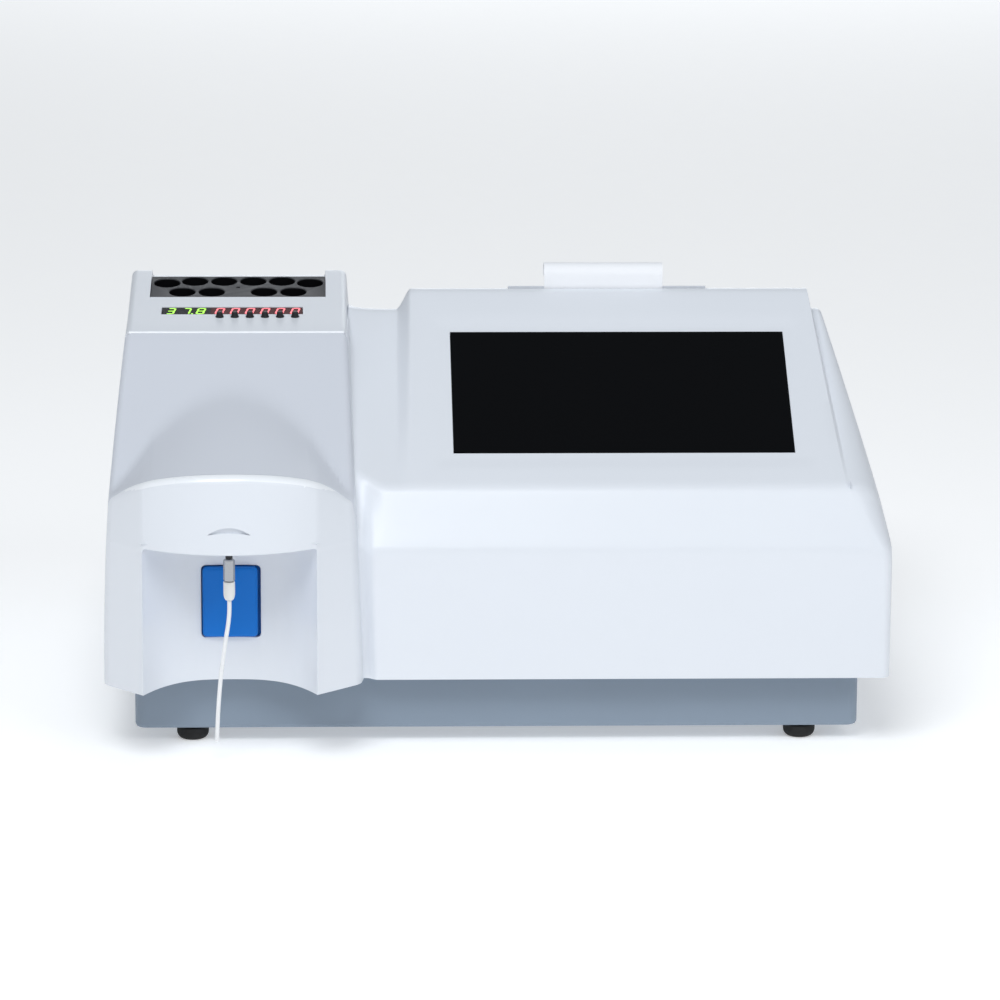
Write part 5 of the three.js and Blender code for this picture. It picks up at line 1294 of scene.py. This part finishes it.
    def frame_dip(self, grid: Array) -> Array:
        """Sinks the soft frame round the screen: a smooth step a few millimetres outside the glass.

        Args:
            grid: columns by rows by 3.

        Returns:
            The grid with the frame sunk.
        """
        along = (grid[..., 1] - MAIN.shoulder) / math.cos(MAIN.tilt)
        across = grid[..., 0]
        out_x = np.maximum(SCREEN.left - across, across - SCREEN.right)
        out_y = np.maximum(SCREEN.low - along, along - SCREEN.high)
        outside = np.maximum(out_x, out_y)
        half = SCREEN.frame_edge / 2
        share = 1 - ease(ramp(SCREEN.frame - half, SCREEN.frame + half, outside))
        sloping = (grid[..., 2] > MAIN.shoulder_top) & (grid[..., 1] < MAIN.ridge - MAIN.ridge_round)
        sunk = grid.copy()
        depth = SCREEN.frame_depth * share * sloping
        sunk[..., 1] += depth * math.sin(MAIN.tilt)
        sunk[..., 2] -= depth * math.cos(MAIN.tilt)
        return sunk

    def grid(self) -> Array:
        """All columns in order, from the left bottom edge to the right one.

        Returns:
            Columns by rows by 3.
        """
        self.columns = []
        self.tower_columns()
        self.valley_columns()
        self.field_columns()
        self.right_columns()
        return self.frame_dip(np.stack(self.columns))


@dataclass
class Housing:
    """The cover with its openings, and the access lid cut from the same skin."""

    skirt: float = 6.0
    edge_gap: float = 0.4
    overrun: float = 2.0
    samples: int = 97
    sharp: float = 32.0
    window: tuple[float, float, float, float] = (-154.3, -88.2, 118.0, 128.0)
    button: tuple[float, float, float, float] = (-133.8, -107.0, 52.8, 86.4)
    button_round: float = 2.0
    stem_hole: float = 2.1
    stem_run: tuple[float, float] = (96.0, 108.0)
    rear: tuple[float, float, float, float] = (-50.0, 146.0, 48.0, 118.026)
    nick_half: float = 9.6
    nick_height: float = 3.4
    nick_centre: float = 110.6
    nick_depth: float = 2.1
    nick_points: int = 25
    skin: HousingSkin = field(default_factory=HousingSkin)

    def lid_region(self, clear: float) -> Object:
        """Space of the access lid: from the arched rim to the seam, and down the sides by the skirt.

        Args:
            clear: gap left round the lid; 0 for the lid's own shape.

        Returns:
            The cutting body.
        """
        end = TOWER.right + BODY.wall / 3
        across = np.linspace(TOWER.left - self.overrun, end, self.samples)
        rim = [[x, self.skin.rim_depth(x) + TOWER.rim_round - clear] for x in across]
        back = TOWER.seam - TOWER.seam_half + (2 * TOWER.seam_half if clear else 0)
        plan = np.array([*rim, [end, back], [TOWER.left - self.overrun, back]])
        drop, top = self.skirt + clear, 2 * TOWER.ear_height
        foot = TOWER.slope_height(TOWER.slope_foot) - drop
        side = np.array([
            [TOWER.lip_front, foot],
            [TOWER.slope_foot, foot],
            [BODY.back, TOWER.slope_height(BODY.back) - drop],
            [BODY.back, top],
            [TOWER.lip_front, top],
        ])
        tall = BODY.bottom + TOWER.ear_height
        region = make_solid("lid_region", prism(plan, BODY.bottom, tall, (0, 1, 2)))
        flank = make_solid("lid_side", prism(side, TOWER.left - self.overrun, end, (1, 2, 0)))
        carve(region, flank, Cut.COMMON)
        discard(flank)
        return region

    def printer_region(self) -> Solid:
        """Space of the printer lid and its slot.

        Returns:
            Points and faces.
        """
        low = (PRINTER.left - self.edge_gap, PRINTER.front - PRINTER.slot, MAIN.shoulder_top)
        back, top = PRINTER.back + 2 * TOWER.seam_half, MAIN.wedge_ridge + BODY.wall
        return box(low, (PRINTER.right + self.edge_gap, back, top))

    def openings(self) -> Object:
        """All the small openings as one cutting body.

        Returns:
            The cutting body.
        """
        deep, over = BODY.wall * 2, self.overrun
        well_low = (TOWER.panel_left, panel_run(TOWER.block), -2 * deep)
        well = box(well_low, (TOWER.panel_right, panel_run(TOWER.block_back), over))
        left, right, low, high = self.window
        window = box((left, panel_run(low), -deep), (right, panel_run(high), over))
        hole, run = pin(TIMERS.hole, -deep, TIMERS.hole_top), panel_run(TIMERS.depth)
        panel = [well, window, *(moved(hole, (x, run, 0)) for x in TIMERS.places)]
        glass_low = (SCREEN.left - GAP, SCREEN.low - GAP, -deep)
        glass = box(glass_low, (SCREEN.right + GAP, SCREEN.high + GAP, over))
        left, right, low, high = self.button
        outline = rounded(right - left, high - low, self.button_round)
        outline += [(left + right) / 2, (low + high) / 2]
        key = prism(outline, TOWER.wall_front, -TOWER.corner_front + TOWER.wall_front, (0, 2, 1))
        stem = moved(pin(self.stem_hole, *self.stem_run), (*SIPPER, 0))
        left, right, low, high = self.rear
        rear = box((left, BODY.back - deep, low), (right, BODY.back + over, high))
        sloping = [*(laid(part, on_panel) for part in panel), laid(glass, on_slope)]
        parts = joined(self.printer_region(), *sloping, key, stem, rear, self.fingertip())
        return make_solid("openings", parts)

    def fingertip(self) -> Solid:
        """Crescent pressed into the hood: the space between two parabolas on one chord.

        Returns:
            Points and faces.
        """
        across = np.linspace(-self.nick_half, self.nick_half, self.nick_points)
        share = bump(across / self.nick_half)
        top = np.stack([across, self.nick_height * share], 1)
        low = np.stack([across, self.nick_height * share / 4], 1)[-2:0:-1]
        outline = np.vstack([top, low]) + [TOWER.centre, self.nick_centre - self.nick_height / 2]
        face = self.skin.up_front(TOWER.centre) + TOWER.hood_lean / 4
        return prism(outline, face - self.overrun, face + self.nick_depth, (0, 2, 1))

    def build(self) -> None:
        """Makes the skin once, and cuts the cover and the access lid from it."""
        points, faces = shell(self.skin.grid(), BODY.wall)
        cover = make_object("cover_moulding", points, faces)
        lid = make_object("access_lid_moulding", points, faces)
        exact, clear, tool = self.lid_region(0.0), self.lid_region(self.edge_gap), self.openings()
        carve(lid, exact, Cut.COMMON)
        carve(cover, clear, Cut.AWAY)
        carve(cover, tool, Cut.AWAY)
        discard(exact, clear, tool)
        for piece, body, node in ((cover, "housing", "upper_cover"), (lid, "access_lid", "access_lid")):
            shade(piece, self.sharp)
            # The lid gets the darker copy of the cover's white, which paints shade on the slope.
            dress(piece, LID_SHADE_WHITE if piece is lid else COVER_WHITE)
            seat(piece, body, node)
        # The arched rim gets a painted highlight.
        self.paint_rim_highlight(cover)

    def paint_rim_highlight(self, cover: Object) -> None:
        """Paints a highlight on the arched rim: a brighter, glossier finish on the upper half of the
        rounding between the hood and the lid.

        Args:
            cover: the finished cover.
        """
        x, y, z = face_centres(cover)
        across = np.linspace(TOWER.left, TOWER.right, self.samples)
        rims = [self.skin.rim_depth(v) for v in across]
        edges = [float(self.skin.tower_height(v, np.array(rim), 0.0)) for v, rim in zip(across, rims)]
        behind, above = y - np.interp(x, across, rims), z - np.interp(x, across, edges)
        right = TOWER.right - TOWER.lean_right - BODY.edge_round
        band = (x > TOWER.left + BODY.edge_round) & (x < right)
        band &= (above > -TOWER.rim_round / 2) & (behind < TOWER.rim_round + GAP)
        second_finish(cover, RIM_HIGHLIGHT_WHITE, band)


# Small pieces


class Corner(Enum):
    """The four corners that carry a foot, by side and depth."""

    FRONT_LEFT = (-138.6, 22.0)
    FRONT_RIGHT = (138.6, 22.0)
    REAR_LEFT = (-138.6, 242.0)
    REAR_RIGHT = (138.6, 242.0)

    @property
    def node(self) -> str:
        """Name of the foot's node."""
        return f"foot_{self.name.lower()}"


@dataclass
class Feet:
    """Bowl-shaped rubber feet."""

    radius: float = 7.3
    sole: float = 4.6
    height: float = 6.2
    belly: float = 0.55
    belly_points: int = 12
    bevel: float = 0.6

    def outline(self) -> Array:
        """Sole, then a quarter ellipse out to the belly, then a straight rim.

        Returns:
            Radius and height pairs.
        """
        turn = np.linspace(0, np.pi / 2, self.belly_points)
        bulge = self.height * self.belly
        belly = np.stack([
            self.sole + (self.radius - self.sole) * np.sin(turn),
            bulge * (1 - np.cos(turn)),
        ], 1)
        rim = [[self.radius, self.height - self.bevel]]
        rim += [[self.radius - self.bevel, self.height], [0, self.height]]
        return np.vstack([[[0, 0]], belly, rim])

    def build(self) -> None:
        """Makes one foot for each corner."""
        shape = lathe(self.outline())
        for corner in Corner:
            name = corner.node.replace("foot", "rubber_foot")
            foot = make_solid(name, moved(shape, (*corner.value, 0)))
            seat(dress(foot, FOOT_RUBBER), "housing", corner.node)


@dataclass
class Nozzle:
    """The sipper's fitting, collar and ferrule, one under the other."""

    radius: float = 2.6
    stem: Outline = ((0, 94.6), (1.6, 94.6), (1.6, 104.3), (3.2, 104.3), (3.2, 107.5), (0, 107.5))
    collar: Outline = ((0, 84.3), (2.35, 84.3), (2.6, 84.55), (2.6, 93.8), (2.1, 94.3), (0, 94.3))
    collar_sides: int = 8
    tip: float = 75.4
    tip_radius: float = 1.2
    nose: float = 3.2
    nose_points: int = 10
    shoulder: Outline = ((2.6, 83.8), (2.4, 84.0), (0, 84.0))

    def ferrule(self) -> Array:
        """Tip, then a quarter ellipse out to the full radius, then the shoulder under the collar.

        Returns:
            Radius and height pairs.
        """
        turn = np.linspace(0, np.pi / 2, self.nose_points)
        out = self.tip_radius + (self.radius - self.tip_radius) * np.sin(turn)
        nose = np.stack([out, self.tip + self.nose * (1 - np.cos(turn))], 1)
        return np.vstack([[[0, self.tip]], nose, self.shoulder])

    def build(self) -> None:
        """Turns the three pieces."""
        rows = (
            ("nozzle_stem", self.stem, SIDES, BLACK_PLASTIC, "black_plastic", "nozzle_fitting"),
            ("nozzle_sleeve", self.collar, self.collar_sides, STEEL, "steel", "nozzle_collar"),
            ("nozzle_tip", self.ferrule(), SIDES, NATURAL, "natural_plastic", "nozzle_ferrule"),
        )
        for name, outline, sides, finish, slot, node in rows:
            piece = make_solid(name, moved(lathe(outline, sides), (*SIPPER, 0)))
            seat(dress(piece, finish), "housing", node)


@dataclass
class SipperTube:
    """Free tube under the nozzle, hanging in one long bow to its bare end."""

    radius: float = 0.95
    root: float = 75.1
    route: tuple[tuple[float, float, float], ...] = (
        (0, 0, 0),
        (0, 0, -4),
        (-0.25, 0, -8),
        (-0.75, 0, -12),
        (-1.4, 0, -16),
        (-2, 0, -20),
        (-2.6, 0, -24),
        (-3.15, 0, -28),
        (-3.7, 0, -32.5),
        (-4.2, 0, -37),
        (-4.65, 0, -42),
        (-5.05, 0, -47),
        (-5.4, 0, -52),
        (-5.65, 0, -57),
        (-5.85, 0, -61.5),
        (-5.95, 0, -65),
    )
    stations: int = 90
    sides: int = 20

    def path(self) -> Array:
        """Smooth line through the route: cubic in the share of its length, through every point.

        Returns:
            Points along the tube, from its root to its end.
        """
        knots = np.array(self.route) + (*SIPPER, self.root)
        reach = np.concatenate([[0], np.cumsum(np.linalg.norm(np.diff(knots, axis=0), axis=1))])
        slope = np.gradient(knots, reach, axis=0)
        at = np.linspace(0, reach[-1], self.stations)
        k = np.clip(np.searchsorted(reach, at, side="right") - 1, 0, len(knots) - 2)
        h = (reach[k + 1] - reach[k])[:, None]
        t = (at - reach[k])[:, None] / h
        start, end = knots[k], knots[k + 1]
        return (
            (2 * t**3 - 3 * t**2 + 1) * start
            + (t**3 - 2 * t**2 + t) * h * slope[k]
            + (3 * t**2 - 2 * t**3) * end
            + (t**3 - t**2) * h * slope[k + 1]
        )

    def build(self) -> None:
        """Carries a circle along the path, and closes both ends."""
        path = self.path()
        ahead = np.gradient(path, axis=0)
        ahead /= np.linalg.norm(ahead, axis=1, keepdims=True)
        side = np.cross(ahead, [0.0, 1.0, 0.0])
        side /= np.linalg.norm(side, axis=1, keepdims=True)
        up = np.cross(side, ahead)
        angle = np.linspace(0, 2 * np.pi, self.sides, endpoint=False)
        ring = np.cos(angle)[None, :, None] * side[:, None] + np.sin(angle)[None, :, None] * up[:, None]
        points = (path[:, None] + self.radius * ring).reshape(-1, 3)
        cell, quads = wound(len(path), self.sides)
        faces = [*quads, cell[0][::-1].tolist(), cell[-1].tolist()]
        tube = make_solid("sipper_tube_soft", (points, faces))
        dress(tube, TUBE_WHITE)
        seat(tube, "housing", "sipper_tube")


@dataclass
class PaperStrip:
    """Printed end of the paper: straight up out of the slot, then a curl backwards."""

    thick: float = 0.35
    low: float = 168.0
    curl: float = 5.5
    curl_height: float = 190.5
    turn: float = math.pi * 1.1
    climb_rows: int = 12
    curl_rows: int = 40

    def arc(self, radius: float) -> Array:
        """One face of the curl, at a radius about its centre line.

        Args:
            radius: of this face of the sheet.

        Returns:
            Rows by depth and height.
        """
        angle = np.linspace(0, self.turn, self.curl_rows)[1:]
        middle = PRINTER.front - PRINTER.slot / 2 + self.curl
        return np.stack([middle - radius * np.cos(angle), self.curl_height + radius * np.sin(angle)], 1)

    def build(self) -> None:
        """Makes the sheet between its two faces, the inner one a thickness behind the outer one."""
        climb = np.linspace(self.low, self.curl_height, self.climb_rows)
        straight = np.stack([np.full(len(climb), PRINTER.front - PRINTER.slot / 2), climb], 1)
        outer = np.vstack([straight, self.arc(self.curl)])
        inner = np.vstack([straight + [self.thick, 0], self.arc(self.curl - self.thick)])
        outline = np.vstack([outer, inner[::-1]])
        left = PRINTER.paper_left
        points, faces = prism(outline, left, left + PRINTER.paper_width, (1, 2, 0))
        count, total = len(outer), len(outline)
        ladder = [[k, k + 1, total - 2 - k, total - 1 - k] for k in range(count - 1)]
        ends = [[v[3], v[2], v[1], v[0]] for v in ladder] + [[a + total for a in v] for v in ladder]
        strip = make_solid("paper_curl", (points, ends + faces[2:]))
        seat(dress(strip, PAPER), "printer_lid", "paper_strip")


@dataclass
class SeamRod:
    """Hinge rod that fills the seam between the access lid and the panel; its near-white finish is a
    painted highlight along the seam.
    """

    radius: float = 0.75
    drop: float = 0.605
    inset: float = 1.5
    sides: int = 32

    def build(self) -> None:
        """Turns the rod and lays it along the seam, between the tower's two walls."""
        skin = HousingSkin()
        height = TOWER.seam_height - self.drop
        left = float(skin.left_wall(np.array(height))) + self.inset
        right = float(skin.inner_wall(np.array(height))) - self.inset
        bevel = self.radius / 4
        outline = [[0, left], [self.radius - bevel, left], [self.radius, left + bevel]]
        outline += [[self.radius, right - bevel], [self.radius - bevel, right], [0, right]]
        lying = laid(lathe(outline, self.sides), lambda points: points[:, [2, 0, 1]])
        rod = make_solid("seam_rod", moved(lying, (0, TOWER.seam, height)))
        # The rod's near-white finish paints the seam's highlight line.
        seat(dress(rod, ROD_HIGHLIGHT_WHITE), "housing", "access_hinge_rod")


@dataclass
class SampleButton:
    """Blue push key in its window, with a bevelled face and a catch flange behind the skin."""

    left: float = -133.2
    right: float = -108.4
    low: float = 53.4
    high: float = 85.8
    face: float = -0.9
    bevel: float = 1.3
    back: float = 8.7
    flange: tuple[float, float] = (4.8, 6.05)
    flange_reach: float = 2.5
    corner: float = 2.0
    least_corner: float = 0.6
    bevel_rows: int = 7

    def rows(self) -> list[tuple[float, float]]:
        """Depth of each outline, and how far it lies inside the key's full size.

        Returns:
            Depth and inset of each, from front to back.
        """
        turn = np.linspace(0, np.pi / 2, self.bevel_rows)[::-1]
        depths = self.face + self.bevel * (1 - np.sin(turn))
        insets = self.bevel * (1 - np.cos(turn))
        face = list(zip(depths.tolist(), insets.tolist()))
        near, far = self.flange
        reach = -self.flange_reach
        return [*face, (near, 0.0), (near, reach), (far, reach), (far, 0.0), (self.back, 0.0)]

    def ring(self, depth: float, inset: float) -> Array:
        """One rounded outline at a depth.

        Args:
            depth: where the outline lies.
            inset: how far inside the full size.

        Returns:
            The outline's points.
        """
        width, height = self.right - self.left, self.high - self.low
        centre = [(self.left + self.right) / 2, (self.low + self.high) / 2]
        turn = max(self.least_corner, self.corner - inset)
        flat = rounded(width - 2 * inset, height - 2 * inset, turn) + centre
        return np.insert(flat, 1, depth, axis=1)

    def build(self) -> None:
        """Stacks rounded outlines from the bevelled face to the back."""
        rings = [self.ring(depth, inset) for depth, inset in self.rows()]
        cell, quads = wound(len(rings), len(rings[0]))
        faces = [*quads, cell[0].tolist(), cell[-1][::-1].tolist()]
        key = make_solid("blue_key", (np.vstack(rings), faces))
        seat(dress(key, BUTTON_BLUE), "sample_button", "sample_button")


class Digit(Enum):
    """Seven-segment digits by their lit segments: top, the two right, bottom, the two left, middle."""

    ZERO = "abcdef"
    THREE = "abcdg"
    SEVEN = "abc"
    EIGHT = "abcdefg"


@dataclass
class TimerStrip:
    """Lit digits on the lens, and the row of small buttons below them."""

    width: float = 4.0
    height: float = 8.0
    bar: float = 0.85
    slant: float = 0.16
    digit_depth: float = 123.0
    warm_places: tuple[float, ...] = (-149.9, -142.6, -135.9)
    warm_digits: tuple[Digit, ...] = (Digit.THREE, Digit.SEVEN, Digit.EIGHT)
    lift: float = -0.28
    thick: float = 0.12
    joint: float = 0.12
    dot: float = 0.5
    dot_gap: float = 0.6
    dot_rise: float = 0.4
    cap: Outline = (
        (0, -6.9), (2.55, -6.9), (2.55, -5.2), (1.9, -5.2), (1.9, 0.2), (1.55, 0.9), (1.45, 2.1),
        (1.3, 2.35), (1.1, 2.4), (0, 2.4),
    )
    cap_sides: int = 32

    def bars(self) -> dict[str, tuple[Array, Array]]:
        """Ends of each segment's middle line, for a digit about the origin.

        Returns:
            Two end points for each segment's letter.
        """
        w, h = self.width / 2 - self.bar / 2, self.height / 2 - self.bar / 2
        corners = {
            "a": ((-w, h), (w, h)),
            "b": ((w, h), (w, 0)),
            "c": ((w, 0), (w, -h)),
            "d": ((w, -h), (-w, -h)),
            "e": ((-w, -h), (-w, 0)),
            "f": ((-w, 0), (-w, h)),
            "g": ((-w, 0), (w, 0)),
        }
        return {key: (np.array(a), np.array(b)) for key, (a, b) in corners.items()}

    def segment(self, start: Array, end: Array) -> Array:
        """Hexagon along a line: pointed at both ends and half a bar to each side.

        Args:
            start: one end of the middle line.
            end: the other end.

        Returns:
            Six corners.
        """
        run = (end - start) / np.linalg.norm(end - start)
        side = np.array([-run[1], run[0]]) * self.bar / 2
        tip = run * self.bar / 2
        near, far = start + run * self.joint, end - run * self.joint
        right, left = [near + tip - side, far - tip - side], [far - tip + side, near + tip + side]
        return np.array([near, *right, far, *left])

    def digit(self, figure: Digit, x: float) -> Solid:
        """One figure's lit segments on the panel, slanted by a share of the height.

        Args:
            figure: the digit.
            x: its middle across.

        Returns:
            Points and faces.
        """
        bars, parts = self.bars(), []
        for key in figure.value:
            outline = self.segment(*bars[key])
            outline[:, 0] += self.slant * outline[:, 1]
            outline += [x, panel_run(self.digit_depth)]
            parts.append(prism(outline, self.lift, self.lift + self.thick, (0, 1, 2)))
        return laid(joined(*parts), on_panel)

    def decimal(self) -> Solid:
        """The dot at the foot of the second temperature digit.

        Returns:
            Points and faces.
        """
        x = self.warm_places[1] + self.width / 2 + self.dot_gap
        y = panel_run(self.digit_depth) - self.height / 2 + self.dot_rise
        return laid(moved(pin(self.dot, self.lift, self.lift + self.thick), (x, y, 0)), on_panel)

    def build(self) -> None:
        """Makes the two groups of digits and the six buttons."""
        warm = [self.digit(d, x) for d, x in zip(self.warm_digits, self.warm_places)]
        warm.append(self.decimal())
        clocks = [self.digit(Digit.ZERO, x) for x in TIMERS.places]
        groups = (("warm_digits", warm, GREEN_GLOW), ("timer_digits", clocks, RED_GLOW))
        for name, parts, finish in groups:
            lit = make_solid(name, joined(*parts), smooth=None)
            seat(dress(lit, finish), "housing")
        shape, run = lathe(self.cap, self.cap_sides), panel_run(TIMERS.depth)
        for k, x in enumerate(TIMERS.places, 1):
            cap = make_solid(f"timer_key_{k}", laid(moved(shape, (x, run, 0)), on_panel))
            body = f"timer_button_{k}"
            seat(dress(cap, BLACK_PLASTIC), body, body)


@dataclass
class IncubatorBlock:
    """Dark block with ten tube wells and a small hole for the probe."""

    radius: float = 6.15
    deep: float = 26.0
    block: float = 30.0
    sunk: float = 0.3
    rear: tuple[float, ...] = (-33.8, -20.6, -6.8, 7.0, 20.7, 34.0)
    rear_row: float = 23.0
    rear_ends: float = 20.6
    front: tuple[float, ...] = (-26.3, -12.4, 12.3, 26.1)
    front_row: float = 8.0
    probe_row: float = 14.3
    probe: float = 1.0
    chamfer: float = 0.35
    over: float = 2.0
    bore_sides: int = 40
    probe_sides: int = 16

    @property
    def origin(self) -> tuple[float, float]:
        """Place on the panel that the wells are counted from: the middle of the block's front edge."""
        return (TOWER.panel_left + TOWER.panel_right) / 2, panel_run(TOWER.block)

    def wells(self) -> list[tuple[float, float]]:
        """Places of the wells on the block.

        Returns:
            Each well's place from the block's origin.
        """
        rear = [(x, self.rear_row) for x in self.rear]
        rear[0], rear[-1] = (self.rear[0], self.rear_ends), (self.rear[-1], self.rear_ends)
        return rear + [(x, self.front_row) for x in self.front]

    def build(self) -> None:
        """Cuts round wells with a small chamfer into the block."""
        middle, front = self.origin
        low = (TOWER.panel_left + GAP, front + GAP, -self.block)
        high = (TOWER.panel_right - GAP, panel_run(TOWER.block_back) - GAP, -self.sunk)
        block = make_solid("heated_block", laid(box(low, high), on_panel))
        r, top = self.radius, -self.sunk
        rim, foot, above = r + self.chamfer, top - self.deep, top + self.over
        profile = [[0, foot], [r, foot], [r, top - self.chamfer], [rim, top], [rim, above], [0, above]]
        bore = lathe(profile, self.bore_sides)
        probe = pin(self.probe, top - self.deep / 3, above, self.probe_sides)
        tools = [moved(bore, (middle + x, front + y, 0)) for x, y in self.wells()]
        tools.append(moved(probe, (middle, front + self.probe_row, 0)))
        tool = make_solid("well_tools", joined(*(laid(part, on_panel) for part in tools)))
        carve(block, tool, Cut.AWAY)
        discard(tool)
        shade(block)
        dress(block, BLOCK_GREY)
        # Painted shade: the bores get a near-black finish.
        self.paint_well_shade(block)
        seat(block, "housing", "incubator_block")

    def paint_well_shade(self, block: Object) -> None:
        """Paints shade into the bores: a near-black finish on the faces near a well's axis and under its
        chamfer.

        Args:
            block: the bored block.
        """
        x, y, z = face_centres(block)
        y, z = y - TOWER.seam, z - TOWER.seam_height
        cos, sin = math.cos(TOWER.tilt), math.sin(TOWER.tilt)
        along, above = y * cos + z * sin, z * cos - y * sin
        wells = np.array(self.wells()) + self.origin
        apart = np.hypot(x[:, None] - wells[:, 0], along[:, None] - wells[:, 1]).min(1)
        inside = (apart < self.radius + GAP / 2) & (above < -self.sunk - GAP)
        second_finish(block, WELL_SHADE_BLACK, inside)


@dataclass
class PlainParts:
    """Frame nodes that keep their own shape and get only a finish."""

    finishes: tuple[tuple[Finish, tuple[str, ...]], ...] = (
        (COVER_WHITE, ("printer_lid",)),
        (TRAY_GREY, ("base_tray",)),
        (SCREEN_BLACK, ("touch_glass",)),
        (LENS, ("timer_window",)),
        (BLOCK_GREY, ("lcd_panel", "detector", "printer_bay")),
        (ROD_STEEL, ("printer_hinge_rod",)),
        (STEEL, ("pump_motor", "flow_cell", "filter_motor", "data_port")),
        (SHEET_METAL, ("display_bracket", "heater_plate", "switch_bracket", "chassis", "lamp_house")),
        (SHEET_METAL, ("filter_bracket", "print_head", "power_supply", "rear_panel")),
        (BOARD_GREEN, ("display_board", "timer_board", "main_board")),
        (BLACK_PLASTIC, ("sample_switch", "pump_rotor", "cell_holder", "filter_wheel", "fan_frame")),
        (BLACK_PLASTIC, ("fan_rotor", "power_inlet", "switch_frame", "power_rocker")),
        (FOOT_RUBBER, ("platen_roller",)),
        (NATURAL, ("pump_housing", "waste_port")),
        (PAPER, ("paper_roll",)),
        (CLEAR, ("lamp", "condenser_lens")),
    )

    def build(self) -> None:
        """Dresses each node."""
        for finish, names in self.finishes:
            for name in names:
                dress(frame["nodes"][name], finish)
            log.info("%s on %s", finish.name, ", ".join(names))


# Studio


class Lamp(Enum):
    """Area lights: place and aim in metres, size and power."""

    KEY = ((-0.4, -1.25, 1.85), (0.0, 0.0, 0.08), 1.1, 25.0)
    FILL = ((1.3, -1.6, 1.5), (0.0, 0.0, 0.08), 1.2, 10.5)
    BACKGROUND = ((0.3, 3.3, 0.8), (0.3, 1.7, 0.0), 1.6, 15.0)


@dataclass
class Studio:
    """Floor, lights and the photograph's camera."""

    place: tuple[float, float, float] = (-77.7, -2133.2, 648.7)
    pitch: float = 14.0
    yaw: float = 2.09
    roll: float = 0.35
    focal: float = 4.916
    film: float = 36.0
    far: float = 50.0
    daylight: tuple[float, float, float] = (0.93, 0.965, 1.0)
    surround: tuple[float, float, float] = (0.9, 0.95, 1.0)
    surround_strength: float = 0.27
    floor_half: float = 30.0
    floor_finish: GlowFinish = GlowFinish(
        "floor_pale", (0.92, 0.92, 0.92), 0.9, grain_depth=0.0, tint=0.005, strength=0.36
    )

    def camera(self) -> None:
        """Places the camera that was fitted to the photograph's corners."""
        e, a, r = (math.radians(v) for v in (self.pitch, self.yaw, self.roll))
        ahead = Vector((math.sin(a) * math.cos(e), math.cos(a) * math.cos(e), -math.sin(e)))
        right = ahead.cross(Vector((0, 0, 1))).normalized()
        up = right.cross(ahead)
        right, up = math.cos(r) * right + math.sin(r) * up, math.cos(r) * up - math.sin(r) * right
        data = bpy.data.cameras.new("camera")
        data.sensor_width = self.film
        data.lens = self.focal * data.sensor_width
        data.clip_end = self.far
        made = bpy.data.objects.new("camera", data)
        bpy.context.scene.collection.objects.link(made)
        turn = Matrix((right, up, -ahead)).transposed()
        x, y, z = self.place
        made.matrix_world = Matrix.Translation(Vector((x, y - CENTRE_DEPTH, z)) * MM) @ turn.to_4x4()
        bpy.context.scene.camera = made

    def floor(self) -> None:
        """Lays a pale floor."""
        half = self.floor_half / MM
        corners = [[-half, -half, 0], [half, -half, 0], [half, half, 0], [-half, half, 0]]
        made = make_object("floor", np.array(corners), [[0, 1, 2, 3]], smooth=None)
        dress(made, self.floor_finish)

    def lights(self) -> None:
        """Hangs the soft lights and the even surround."""
        for lamp in Lamp:
            place, aim, size, power = lamp.value
            data = bpy.data.lights.new(lamp.name.lower(), "AREA")
            data.energy, data.size, data.color = power, size, self.daylight
            made = bpy.data.objects.new(lamp.name.lower(), data)
            made.location = place
            made.rotation_euler = (Vector(aim) - made.location).to_track_quat("-Z", "Y").to_euler()
            bpy.context.scene.collection.objects.link(made)
        world = bpy.data.worlds.new("surround")
        world.use_nodes = True
        sky = world.node_tree.nodes["Background"]
        sky.inputs["Color"].default_value = (*self.surround, 1)
        sky.inputs["Strength"].default_value = self.surround_strength
        bpy.context.scene.world = world
        bpy.context.scene.view_settings.view_transform = "Standard"

    def build(self) -> None:
        """Sets the camera, floor and lights."""
        self.camera()
        self.floor()
        self.lights()


def main() -> None:
    """Builds the pieces in order and reports each."""
    logging.basicConfig(level=logging.INFO, format="%(message)s")
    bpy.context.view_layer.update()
    pieces = (
        Studio(), SipperTube(), PlainParts(), Housing(), Feet(), Nozzle(),
        SeamRod(), PaperStrip(), SampleButton(), TimerStrip(), IncubatorBlock(),
    )
    for piece in pieces:
        piece.build()
        log.info("%s done", type(piece).__name__)
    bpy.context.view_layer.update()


if __name__ == "__main__":
    main()
